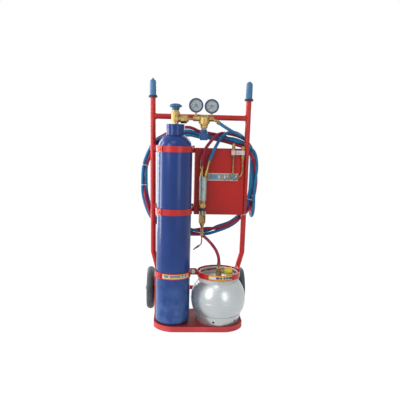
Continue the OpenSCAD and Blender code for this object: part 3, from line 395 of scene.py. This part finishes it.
# Each material's CAD nodes
FINISH = {
    TRAY: "base_tray",
    RED: "upright_left upright_right top_crossbar strap_rails axle_carrier hose_hooks "
         "rail_straps lower_strap strap_arms gas_hoop",
    BOX_RED: "toolbox",
    STEEL: "axle_rod axle_hardware valve_spindle adjusting_screw torch_holder",
    BOLTS: "fasteners",
    BRASS: "cylinder_valve regulator_body regulator_bonnet union_nut outlet_fitting torch_inlets "
           "front_knob torch_valve_block gas_valve",
    DARK_BRASS: "torch_union_nut spare_nozzles hose_clamps",
    BRONZE: "bush_left bush_right",
    COPPER: "torch_neck",
    NICKEL: "torch_tip",
    GRIP: "grips",
    TYRE: "tyre_left tyre_right",
    RIM: "rim_left rim_right",
    BLUE: "oxygen_cylinder neck_ring",
    KNOB_BLUE: "adjusting_knob",
    WHEEL_BLUE: "valve_handwheel",
    KNOB_DARK: "control_ring",
    CASE: "gauge_cases",
    DIAL: "gauge_dials",
    LENS: "gauge_lenses",
    NEEDLE: "needle_left needle_right",
    SILVER: "gas_cylinder gas_foot_ring",
    COLLAR: "gas_collar",
    RACK: "nozzle_rack",
    YELLOW: "gas_valve_knob",
    HANDLE: "torch_handle",
    HOSE_BLUE: "hose_coil oxygen_lead oxygen_torch_hose",
    HOSE_RED: "fuel_lead fuel_torch_hose",
}
for material, names in FINISH.items():
    for name in names.split():
        mesh = nodes[name].data
        mesh.materials.clear()
        mesh.materials.append(material)

# ---------- hoses ----------

HOSE_D = 14
ROUTE_STEPS = 4


def eased(share):
    """A share from 0 to 1 with a soft start and end."""
    return share * share * (3 - 2 * share)


def between(a, b, c, d, u):
    """Catmull-Rom curve between b and c."""
    return 0.5 * (2 * b + (c - a) * u + (2 * a - 5 * b + 4 * c - d) * u * u
                  + (3 * b - 3 * c + d - a) * u * u * u)


def along(points, steps):
    """A smooth line through the points, with so many steps between two of them."""
    last = len(points) - 1
    line = []
    for i in range(last):
        near = [points[max(i - 1, 0)], points[i], points[i + 1], points[min(i + 2, last)]]
        line += [between(*near, k / steps) for k in range(steps)]
    return line + [points[-1]]


# Middle line of the hanging coil, clockwise from its upper right, as in part.scad: x, z
COIL_LINE = [
    (205, 789), (236, 755), (248, 700), (248, 630), (240, 560), (215, 490), (160, 435), (97, 408),
    (33, 393), (-50, 391), (-145, 416), (-205, 455), (-240, 540), (-247.5, 620), (-237, 710),
    (-190, 795), (-70, 845), (0, 832), (90, 820), (160, 804),
]
COIL_Y = 20
# Corners between two points of a run, and a short way ahead on the line
RUN_STEP, AHEAD = 0.25, 0.02


def coil_point(t, u, v):
    """A point t corners along the coil, u outward from its middle line and v back."""
    n = len(COIL_LINE)
    i = int(t // 1) % n
    corners = [Vector(COIL_LINE[(i + k - 1) % n]) for k in range(4)]
    p = between(*corners, t % 1)
    q = between(*corners, t % 1 + AHEAD)
    ahead = unit(q - p)
    out = Vector((-ahead[1], ahead[0]))
    p = p + u * out
    return Vector((p[0], COIL_Y + v, p[1]))


def coil_run(stations):
    """Points along the coil through stations (t, u, v), with u and v eased between them."""
    run = []
    for (t0, u0, v0), (t1, u1, v1) in zip(stations, stations[1:]):
        count = max(1, round((t1 - t0) / RUN_STEP))
        for k in range(count):
            share = k / count
            ease = eased(share)
            run.append(coil_point(t0 + (t1 - t0) * share, u0 + (u1 - u0) * ease,
                                  v0 + (v1 - v0) * ease))
    return run + [coil_point(*stations[-1])]


# Both hoses as in part.scad, in order from their source to the blowpipe
OXYGEN_LEAD = [
    (63.3, -135, 887.3), (76.1, -135, 879.6), (88, -126, 872), (101, -104, 866), (124, -72, 855),
    (149.5, -40, 844), (175.7, -8, 833), (196, 17, 821), (212, 27, 802), (225, 32, 780),
]
FUEL_LEAD = [
    (87, -120, 268), (87, -120, 288), (84, -117, 309), (75, -103, 331), (61, -80, 349),
    (45, -52, 363), (28, -24, 374), (10, 0, 382),
]
OXYGEN_TO_TORCH = [
    (251, 6, 525), (251, 15, 492), (251, 39, 469), (251, 71, 460), (251, 103, 469),
    (251, 127, 492), (251, 136, 525), (249, 130, 563), (246, 105, 610), (243, 80, 657),
    (242, 70, 700), (239, 67, 740), (230, 62, 776), (212, 54, 808), (189, 44, 832),
    (166, 34, 844), (143.4, 24, 847), (123.8, 9, 843.6), (104.7, -8, 834.4), (87, -28, 817),
    (71, -50, 792), (57, -64, 766), (45, -72, 740), (37.45, -75, 723.2), (34.8, -75, 711.5),
]
FUEL_TO_TORCH = [
    (254, 32, 570), (251, 21.5, 525), (251, 28, 501), (251, 46, 482), (251, 71, 475),
    (251, 96, 482), (251, 114, 501), (251, 121, 525), (254, 114, 563), (257, 94, 610),
    (259, 78, 657), (259, 74, 700), (254, 76, 740), (241, 79, 778), (217, 77, 808),
    (185, 69, 826), (153, 53, 835), (127, 33, 839), (109, 17, 841), (94, 2, 840.5),
    (76, -15, 834), (58.2, -33, 820.4), (40.1, -49, 799.7), (22.3, -64, 775.9),
    (10.5, -73, 745.7), (6.5, -75, 719), (6.5, -75, 703), (6.5, -75, 687),
]
OXYGEN_RUN = [
    (1.6, -2, 14), (3, -3, 11), (4, -3, 12), (5, 1, 15), (6, 8, 10), (7, 10, 4), (8, 13, 0),
    (9, 12, 2), (10, 9, 7), (11, 10, 12), (12, 10, 10), (13, 8, 0), (14, 9, 0), (15, 7, 0),
    (16, 2, 0), (17, 1, 2), (18, 4, 13), (19, 11, 10), (20, 6, 14), (21, -3, 14), (22, -12, 6),
    (23, -13, 0), (24, -12, 0), (25, -10, 3), (26, -8, 12), (27, -9, 13), (28, 1, 11),
    (29, -12, 0), (30, -8, 1), (31, -8, 7), (32.2, -9, 12), (33, -8, 3), (34.3, -1, 12),
    (35, -6, 8), (36, -18, 0), (37, -11, 0), (38, 2, 1), (39, 1, 1), (40, 4, 0), (41.3, 13, 0),
    (42, 13, 0), (43, 8, 0), (43.6, 7, 0),
]
FUEL_RUN = [
    (8.9, 4, -1), (10, 2, 9), (11, 3, 1), (12, -1, 0), (13.2, 0, 15), (14.2, -6, 3),
    (15, -10, 2),
    (16, -8, 14), (17, -7, 13), (18, -11, 0), (19, -12, 0), (20, -12, 0), (21, -8, 0), (22, 3, 0),
    (23.1, 14, 12), (24, 14, 13), (25, 8, 6), (26, -2, 0), (27, -3, 0), (28, -13, 0),
    (29.2, -3, 16), (30, 0, 18), (31, 0, 20), (32, 0, 24), (33, -2, 26), (34, 2, 24), (35, 12, 12),
    (36, 18, 0), (37, 14, 0), (38, 12, 11), (39, 0, 17), (40, -5, 22), (41, 0, 25), (42, -5, 25),
    (43, -5, 25),
]


def hose(name, lead, run, tail, material, length, slot, *solids):
    """A hose as a free cord, in place of its CAD solids; its length in metres is not used."""
    route = [Vector(p) for p in lead] + coil_run(run) + [Vector(p) for p in tail]
    line = along(route, ROUTE_STEPS)
    data = bpy.data.curves.new(name, "CURVE")
    data.dimensions = "3D"
    data.bevel_depth = HOSE_D / 2000
    data.bevel_resolution = 4
    data.use_fill_caps = True
    spline = data.splines.new("POLY")
    spline.points.add(len(line) - 1)
    for point, p in zip(spline.points, line):
        point.co = (*at(*p), 1)
    spline.use_smooth = True
    data.materials.append(material)
    made = add_object(name, data)
    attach(made, "cart")
    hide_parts(*solids)


hose("oxygen_hose", OXYGEN_LEAD, OXYGEN_RUN, OXYGEN_TO_TORCH, HOSE_BLUE, 4.5, "hose_blue",
     "oxygen_lead", "oxygen_torch_hose", "hose_coil")
hose("fuel_hose", FUEL_LEAD, FUEL_RUN, FUEL_TO_TORCH, HOSE_RED, 3.9, "hose_red",
     "fuel_lead", "fuel_torch_hose")

# ---------- small pieces ----------

SHARP = radians(35)
PLATE_STEPS = 36


def loft(rings, closed=False):
    """Points and faces between rings of equally many points, capped unless the rings close."""
    n = len(rings[0])
    count = len(rings)
    faces = []
    for i in range(count if closed else count - 1):
        j = (i + 1) % count
        for k in range(n):
            m = (k + 1) % n
            faces.append((i * n + k, i * n + m, j * n + m, j * n + k))
    if not closed:
        faces += [tuple(range(n)), tuple(range((count - 1) * n, count * n))]
    return [p for ring in rings for p in ring], faces


def turned(profile, base, axis, sides=48):
    """A turned solid: pairs of radius and height along an axis that starts at base."""
    turn = Vector((0, 0, 1)).rotation_difference(Vector(axis)).to_matrix()
    angles = [tau * k / sides for k in range(sides)]
    rings = []
    for r, h in profile:
        ring = [Vector((r * cos(a), r * sin(a), h)) for a in angles]
        rings.append([Vector(base) + turn @ p for p in ring])
    return loft(rings)


def turned_ring(profile, base, axis, sides=48):
    """A turned ring whose section is the closed profile."""
    points, _ = turned(profile, base, axis, sides)
    rings = [points[i * sides:(i + 1) * sides] for i in range(len(profile))]
    return loft(rings, closed=True)


def piece(name, shapes, material, body="cart"):
    """One object of closed shapes, each given as points in millimetres and faces."""
    mesh = bpy.data.meshes.new(name)
    points, faces = [], []
    for shape_points, shape_faces in shapes:
        faces += [tuple(i + len(points) for i in face) for face in shape_faces]
        points += [at(*p) for p in shape_points]
    mesh.from_pydata(points, [], faces)
    shape = bmesh.new()
    shape.from_mesh(mesh)
    bmesh.ops.recalc_face_normals(shape, faces=shape.faces)
    shape.to_mesh(mesh)
    shape.free()
    mesh.shade_smooth()
    mesh.set_sharp_from_angle(angle=SHARP)
    mesh.materials.append(material)
    made = add_object(name, mesh)
    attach(made, body)
    return made


def plate(middle, radius, thick, start, end, low, high):
    """A plate bent round a vertical axis, from angle start to end."""
    corners = [(radius, low), (radius + thick, low), (radius + thick, high), (radius, high)]
    rings = []
    for k in range(PLATE_STEPS + 1):
        a = radians(start + (end - start) * k / PLATE_STEPS)
        rings.append([(middle[0] + r * cos(a), middle[1] + r * sin(a), z) for r, z in corners])
    return loft(rings)


OXYGEN_AXIS = (-111.5, -135)
GAS_AXIS = (87, -120)
LABEL_T = 0.35
# Strips round the lower strap and the hoop: radius, first and last angle, low and high
STRAP_LABEL = (76.4, (-126, -31), (230, 248.5))
HOOP_LABEL = (93.5, (-121, -58), (224.8, 247.2))
BOX_LABEL_X, BOX_LABEL_Z = (32.4, 168), (633.5, 666)

YELLOW_INK, ORANGE_INK, RED_INK = (0.72, 0.5, 0.08), (0.6, 0.2, 0.03), (0.42, 0.02, 0.02)
WHITE_INK, PINK_INK = (0.62, 0.6, 0.62), (0.62, 0.42, 0.42)
TEAL_INK, SLATE_INK, NAVY_INK = (0.06, 0.24, 0.34), (0.16, 0.27, 0.33), (0.02, 0.04, 0.14)


def curved_label(name, middle, shape, bands, blocks):
    """A strip that lies round a cylinder at middle."""
    radius, angles, heights = shape
    strip = plate(middle, radius, LABEL_T, *angles, *heights)
    piece(name, [strip], label(name, *heights, bands, blocks))


def make_labels():
    """Plain striped strips where the object carries printed ones."""
    curved_label("strap_label", OXYGEN_AXIS, STRAP_LABEL,
                 [(0, PINK_INK), (0.14, YELLOW_INK), (0.3, WHITE_INK), (0.72, RED_INK),
                  (0.84, YELLOW_INK)],
                 [(0, TEAL_INK), (0.45, WHITE_INK), (0.7, SLATE_INK), (0.86, YELLOW_INK)])
    curved_label("hoop_label", GAS_AXIS, HOOP_LABEL,
                 [(0, ORANGE_INK), (0.2, YELLOW_INK), (0.3, WHITE_INK), (0.72, YELLOW_INK),
                  (0.84, ORANGE_INK)],
                 [(0, NAVY_INK), (0.5, WHITE_INK), (0.72, SLATE_INK), (0.88, YELLOW_INK)])
    front = label("box_label", *BOX_LABEL_Z,
                  [(0, PINK_INK), (0.12, SLATE_INK), (0.9, YELLOW_INK)],
                  [(0, SLATE_INK), (0.55, TEAL_INK), (0.75, WHITE_INK), (0.88, ORANGE_INK)])
    face_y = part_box("toolbox")[0][1] * 1000 - FRAME_Y
    low, high = BOX_LABEL_Z
    section = [(face_y, low), (face_y - LABEL_T, low), (face_y - LABEL_T, high), (face_y, high)]
    rings = [[(x, y, z) for y, z in section] for x in BOX_LABEL_X]
    piece("box_label", [loft(rings)], front)


def strands_at(t):
    """Where the strands lie beside the coil's middle line, t corners along it."""
    found = []
    for run in (OXYGEN_RUN, FUEL_RUN):
        for (t0, u0, v0), (t1, u1, v1) in zip(run, run[1:]):
            share = (t - t0) % len(COIL_LINE) / (t1 - t0)
            if share < 1:
                ease = eased(share)
                found.append((u0 + (u1 - u0) * ease, v0 + (v1 - v0) * ease))
    return found


BACK = Vector((0, 1, 0))
TIE_W, TIE_T = 3.4, 1.2
TIE_HEAD = (5.5, 3.8, 5)
TIE_STEPS = 48
# How far along the coil each cable tie sits, how far it stands off the hoses and its head off it
TIE_STATIONS = {"tie_left_upper": 13.8, "tie_left_lower": 12.8, "tie_right": 4.23}
TIE_GAP, HEAD_GAP = 0.8, 2.4
# The tie round the right upright: its middle, its head, its tilt and half its width and depth
UPRIGHT_TIE = Vector((205.3, 0, 478))
UPRIGHT_TIE_HEAD = UPRIGHT_TIE + Vector((4, -14.6, 0))
UPRIGHT_TIE_TILT = 0.3
UPRIGHT_TIE_HALF = (13.0, 12.2)
# How square a tie lies: 1 for an oval, less towards a box
ROUND_TIE, SQUARE_TIE = 1, 0.55


def band(middle, across, along_way, half_u, half_v, square):
    """A closed strap round an axis along_way, of half widths across and back."""
    rings = []
    for k in range(TIE_STEPS):
        c, d = cos(tau * k / TIE_STEPS), sin(tau * k / TIE_STEPS)
        u = abs(c) ** square * (1 if c > 0 else -1)
        v = abs(d) ** square * (1 if d > 0 else -1)
        ring = []
        for out, side in ((0, -1), (0, 1), (TIE_T, 1), (TIE_T, -1)):
            ring.append(middle + across * u * (half_u + out) + BACK * v * (half_v + out)
                        + along_way * side * TIE_W / 2)
        rings.append(ring)
    return loft(rings, closed=True)


# Section of a tie's head with its corners cut off, and its shares of width at its depths
HEAD_SECTION = [(-0.5, -0.36), (-0.36, -0.5), (0.36, -0.5), (0.5, -0.36),
                (0.5, 0.36), (0.36, 0.5), (-0.36, 0.5), (-0.5, 0.36)]
HEAD_LAYERS = [(0.78, -0.5), (1, -0.36), (1, 0.36), (0.78, 0.5)]


def tie_head(middle, across, along_way):
    """A tie's small block with its edges cut off."""
    width, deep, high = TIE_HEAD
    rings = []
    for share, depth in HEAD_LAYERS:
        rings.append([middle + across * u * width * share + along_way * w * high * share
                      + BACK * depth * deep for u, w in HEAD_SECTION])
    return loft(rings)


def make_ties():
    """Cable ties round the coil's strands and round the right upright."""
    for name, t in TIE_STATIONS.items():
        strands = strands_at(t)
        low_u, high_u = min(u for u, _ in strands), max(u for u, _ in strands)
        low_v, high_v = min(v for _, v in strands), max(v for _, v in strands)
        middle = coil_point(t, (low_u + high_u) / 2, (low_v + high_v) / 2)
        ahead = unit(coil_point(t + 0.05, 0, 0) - coil_point(t - 0.05, 0, 0))
        across = ahead.cross(BACK)
        reach = HOSE_D / 2 + TIE_GAP
        half_u, half_v = (high_u - low_u) / 2 + reach, (high_v - low_v) / 2 + reach
        loop = band(middle, across, ahead, half_u, half_v, SQUARE_TIE)
        head = tie_head(middle - BACK * (half_v + HEAD_GAP) + across * half_u / 2, across, ahead)
        piece(name, [loop, head], TIE)
    axis = unit(Vector((-UPRIGHT_TIE_TILT, 0, 1)))
    across = unit(Vector((1, 0, UPRIGHT_TIE_TILT)))
    loop = band(UPRIGHT_TIE, across, axis, *UPRIGHT_TIE_HALF, ROUND_TIE)
    piece("tie_upright", [loop, tie_head(UPRIGHT_TIE_HEAD, across, axis)], TIE)


# The dials' faces, and each gauge's middle and the step of its numbers
GAUGE_Y = -141
GAUGES = {"left": (-27.5, 952.5, 50), "right": (37.5, 950, 2)}
SCALE_START, SCALE_TURN = 225, 270
NUMBERS, TICKS_BETWEEN = 5, 5
SCALE_R, NUMBER_R, NUMBER_SIZE = 21.8, 13.6, 4.6
# Inner radius and width of a tick
LONG_TICK, SHORT_TICK = (17.5, 0.9), (19.4, 0.45)
PRINT_T = 0.2
# The needle hubs: radius and height, how far they stand off the dial, and their sides
HUB = [(0.01, 0), (6.6, 0), (6.8, 0.5), (6, 1.6), (3, 2.1), (0.01, 2.2)]
HUB_OUT, HUB_SIDES = 3.6, 32


def number(text, size, x, z):
    """The raised outline of a number on a dial, round its own middle."""
    data = bpy.data.curves.new("number", "FONT")
    data.body = text
    data.size = size
    data.align_x = "CENTER"
    data.align_y = "CENTER"
    data.resolution_u = 3
    data.extrude = PRINT_T / 2
    holder = bpy.data.objects.new("number", data)
    mesh = holder.to_mesh()
    lift = 0.6 * PRINT_T
    points = [(x + v.co.x, GAUGE_Y - lift - v.co.z, z + v.co.y) for v in mesh.vertices]
    faces = [tuple(face.vertices) for face in mesh.polygons]
    holder.to_mesh_clear()
    bpy.data.objects.remove(holder)
    bpy.data.curves.remove(data)
    return points, faces


def tick(x, z, a, inner, width):
    """A mark on a dial, from a radius out to the scale's edge."""
    out = Vector((cos(a), 0, sin(a)))
    side = Vector((-sin(a), 0, cos(a))) * width / 2
    lift = Vector((0, -PRINT_T, 0))
    rings = []
    for r in (inner, SCALE_R):
        p = Vector((x, GAUGE_Y, z)) + out * r
        rings.append([p - side, p + side, p + side + lift, p - side + lift])
    return loft(rings)


def make_dials():
    """Printed scales with plain numbers, and the dark hubs of the needles."""
    for side, (x, z, step) in GAUGES.items():
        shapes = []
        marks = NUMBERS * TICKS_BETWEEN
        for k in range(marks + 1):
            a = radians(SCALE_START - SCALE_TURN * k / marks)
            part, between_numbers = divmod(k, TICKS_BETWEEN)
            shapes.append(tick(x, z, a, *(SHORT_TICK if between_numbers else LONG_TICK)))
            if not between_numbers:
                shapes.append(number(str(step * part), NUMBER_SIZE,
                                     x + NUMBER_R * cos(a), z + NUMBER_R * sin(a)))
        piece(f"dial_scale_{side}", shapes, NEEDLE)
        hub = turned(HUB, (x, GAUGE_Y - HUB_OUT, z), (0, -1, 0), HUB_SIDES)
        piece(f"needle_hub_{side}", [hub], NEEDLE, f"{side}_needle")


# An upright's middle line at its bend and at its top: x, z
BEND, TOP = (203, 302), (212, 1027)
LEAN = (TOP[0] - BEND[0]) / (TOP[1] - BEND[1])
TUBE_R = 12.05

# Each grip's side, low end and the height of its tip
GRIPS = {"grip_left": (-1, 989, 5), "grip_right": (1, 984, 0.8)}
GRIP_LEN, END_R = 85, 14
SOCKET_END = 18
GROOVES, GROOVE_LOW, GROOVE_STEP = 3, 16, 5
GROOVE = [(14.6, 0), (14.1, 0.8), (14.1, 1.6), (14.6, 2.4)]
FLANGE_SECTION = [
    (TUBE_R, 0.3), (18.6, 0), (19.8, 1.5), (20, 4), (19.8, 7.5), (18.6, 9.4), (16, 10.4),
    (14.9, 10.6), (TUBE_R, 10.6),
]


def upright_x(z):
    """Half the distance between the uprights' middle lines at a height above their bend."""
    return BEND[0] + (z - BEND[1]) * LEAN


def make_grips():
    """Vinyl grips with a rolled flange, shallow rings and a round end, the left with a tip."""
    for name, (side, low, tip) in GRIPS.items():
        base = Vector((side * upright_x(low), 0, low))
        axis = Vector((side * LEAN, 0, 1))
        dome = GRIP_LEN - tip
        sleeve = [(0.01, dome - SOCKET_END), (TUBE_R, dome - SOCKET_END), (TUBE_R, 9),
                  (14.8, 9), (14.7, 14)]
        for k in range(GROOVES):
            sleeve += [(r, GROOVE_LOW + GROOVE_STEP * k + h) for r, h in GROOVE]
        sleeve += [(14.4, 40), (14.1, dome - END_R)]
        for a in range(10, 80, 10):
            sleeve.append((END_R * cos(radians(a)), dome - END_R + END_R * sin(radians(a))))
        sleeve += [(4.4, dome - 0.7), (3.6, dome + tip * 0.5), (2.4, dome + tip * 0.9),
                   (0.01, dome + tip)]
        grip = piece(name, [turned(sleeve, base, axis)], GRIP)
        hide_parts("grips")
        piece(f"{name}_flange", [turned_ring(FLANGE_SECTION, base, axis)], SHADED_FLANGE)


CROSSBAR_Z, CROSSBAR_R = 909, 12.2
CROSSBAR_BEAD, CROSSBAR_LUMPS = 1.9, 22
WELD_INSET = 12.6
# The cylinders' seams: height, radius and thickness
GAS_SEAM, OXYGEN_SEAM = (126, 118.2, 1.5), (88, 72.6, 1.2)
BEAD_STEPS, BEAD_SIDES = 96, 8


def bead(middle, axis, radius, thick, lumps=0):
    """A weld bead round an axis, wavy with so many lumps."""
    turn = Vector((0, 0, 1)).rotation_difference(Vector(axis)).to_matrix()
    rings = []
    for k in range(BEAD_STEPS):
        a = tau * k / BEAD_STEPS
        swell = thick * (1 + 0.18 * sin(lumps * a))
        ring = []
        for j in range(BEAD_SIDES):
            b = tau * j / BEAD_SIDES
            r = radius + swell * cos(b)
            ring.append(Vector(middle) + turn @ Vector((r * cos(a), r * sin(a), swell * sin(b))))
        rings.append(ring)
    return loft(rings, closed=True)


def seam(name, middle, shape, material):
    """A smooth seam round a cylinder at middle."""
    z, radius, thick = shape
    piece(name, [bead((*middle, z), (0, 0, 1), radius, thick)], material)


def make_welds():
    """Beads at the crossbar's ends and seams round both cylinders."""
    seat = upright_x(CROSSBAR_Z) - WELD_INSET
    beads = [bead((x, 0, CROSSBAR_Z), (1, 0, 0), CROSSBAR_R, CROSSBAR_BEAD, CROSSBAR_LUMPS)
             for x in (-seat, seat)]
    piece("crossbar_welds", beads, RED)
    seam("gas_seam", GAS_AXIS, GAS_SEAM, SILVER)
    seam("oxygen_seam", OXYGEN_AXIS, OXYGEN_SEAM, BLUE)


make_labels()
make_ties()
make_dials()
make_grips()
make_welds()

# ---------- floor and light ----------

# In metres
FLOOR_HALF, FLOOR_Z = 12, -0.0005
# The floor's glow where it is seen, and how much of it covers the lit floor
FLOOR_GLOW, FLOOR_VEIL = 1.12, 0.82
STUDIO_TINT, STUDIO_LIGHT = (0.93, 0.96, 1, 1), 0.4
WHITE = (1, 1, 1, 1)

# Softboxes: place, target, width and height in metres, and watts
SOFTBOXES = {
    "key": ((-1.9, -2.0, 1.5), (-0.05, 0, 0.5), (1.0, 1.8), 32),
    "strip": ((-1.9, 0.24, 0.9), (-0.11, -0.12, 0.55), (0.5, 2.0), 30),
    "rim": ((-1.5, 1.5, 0.9), (-0.11, -0.12, 0.55), (0.6, 2.0), 22),
    "overhead": ((-0.5, -1.5, 2.5), (0, -0.1, 0.5), (0.9, 0.6), 5),
    "fill": ((1.3, -2.6, 1.0), (0.1, 0, 0.5), (0.9, 1.6), 11),
    "back": ((0.9, 2.5, 1.5), (0, 0, 0.5), (1.4, 1.6), 20),
}


def make_floor():
    """A pale floor that shows its shadow and is nearly white to the camera."""
    mesh = bpy.data.meshes.new("floor")
    half = FLOOR_HALF
    corners = [(-half, -half, 0), (half, -half, 0), (half, half, 0), (-half, half, 0)]
    mesh.from_pydata(corners, [], [(0, 1, 2, 3)])
    floor = add_object("floor", mesh)
    floor.location.z = FLOOR_Z
    s = Shader("floor_white", (0.9, 0.9, 0.9), 0.6)
    glow = s.add("ShaderNodeEmission")
    s.set(glow, "Color", WHITE)
    s.set(glow, "Strength", FLOOR_GLOW)
    rays = s.add("ShaderNodeLightPath").outputs
    seen = s.math("ADD", rays["Is Camera Ray"], rays["Is Glossy Ray"])
    seen = s.math("ADD", seen, rays["Is Transmission Ray"], clamp=True)
    both = s.add("ShaderNodeMixShader")
    s.set(both, 0, s.math("MULTIPLY", seen, FLOOR_VEIL))
    s.set(both, 1, s.bsdf.outputs[0])
    s.set(both, 2, glow.outputs[0])
    s.set(s.tree.nodes["Material Output"], "Surface", both.outputs[0])
    mesh.materials.append(s.material)


def make_world():
    """A white studio to camera, glossy and transmission rays, and a dim one as a light."""
    world = bpy.data.worlds.new("studio")
    world.use_nodes = True
    tree = world.node_tree
    dim = tree.nodes["Background"]
    dim.inputs["Color"].default_value = STUDIO_TINT
    dim.inputs["Strength"].default_value = STUDIO_LIGHT
    bright = tree.nodes.new("ShaderNodeBackground")
    bright.inputs["Color"].default_value = WHITE
    bright.inputs["Strength"].default_value = 1.0
    rays = tree.nodes.new("ShaderNodeLightPath").outputs
    seen = rays["Is Camera Ray"]
    for other in ("Is Glossy Ray", "Is Transmission Ray"):
        both_rays = tree.nodes.new("ShaderNodeMath")
        both_rays.use_clamp = True
        tree.links.new(seen, both_rays.inputs[0])
        tree.links.new(rays[other], both_rays.inputs[1])
        seen = both_rays.outputs[0]
    both = tree.nodes.new("ShaderNodeMixShader")
    tree.links.new(seen, both.inputs[0])
    tree.links.new(dim.outputs[0], both.inputs[1])
    tree.links.new(bright.outputs[0], both.inputs[2])
    tree.links.new(both.outputs[0], tree.nodes["World Output"].inputs[0])
    bpy.context.scene.world = world


def softbox(name, place, target, size, power):
    """A rectangular area light turned towards its target."""
    data = bpy.data.lights.new(name, "AREA")
    data.shape = "RECTANGLE"
    data.size, data.size_y = size
    data.energy = power
    light = add_object(name, data)
    light.location = place
    light.rotation_euler = (Vector(target) - Vector(place)).to_track_quat("-Z", "Y").to_euler()


make_floor()
make_world()
for name, settings in SOFTBOXES.items():
    softbox(name, *settings)

scene = bpy.context.scene
scene.view_settings.view_transform = "Standard"
scene.view_settings.look = "None"
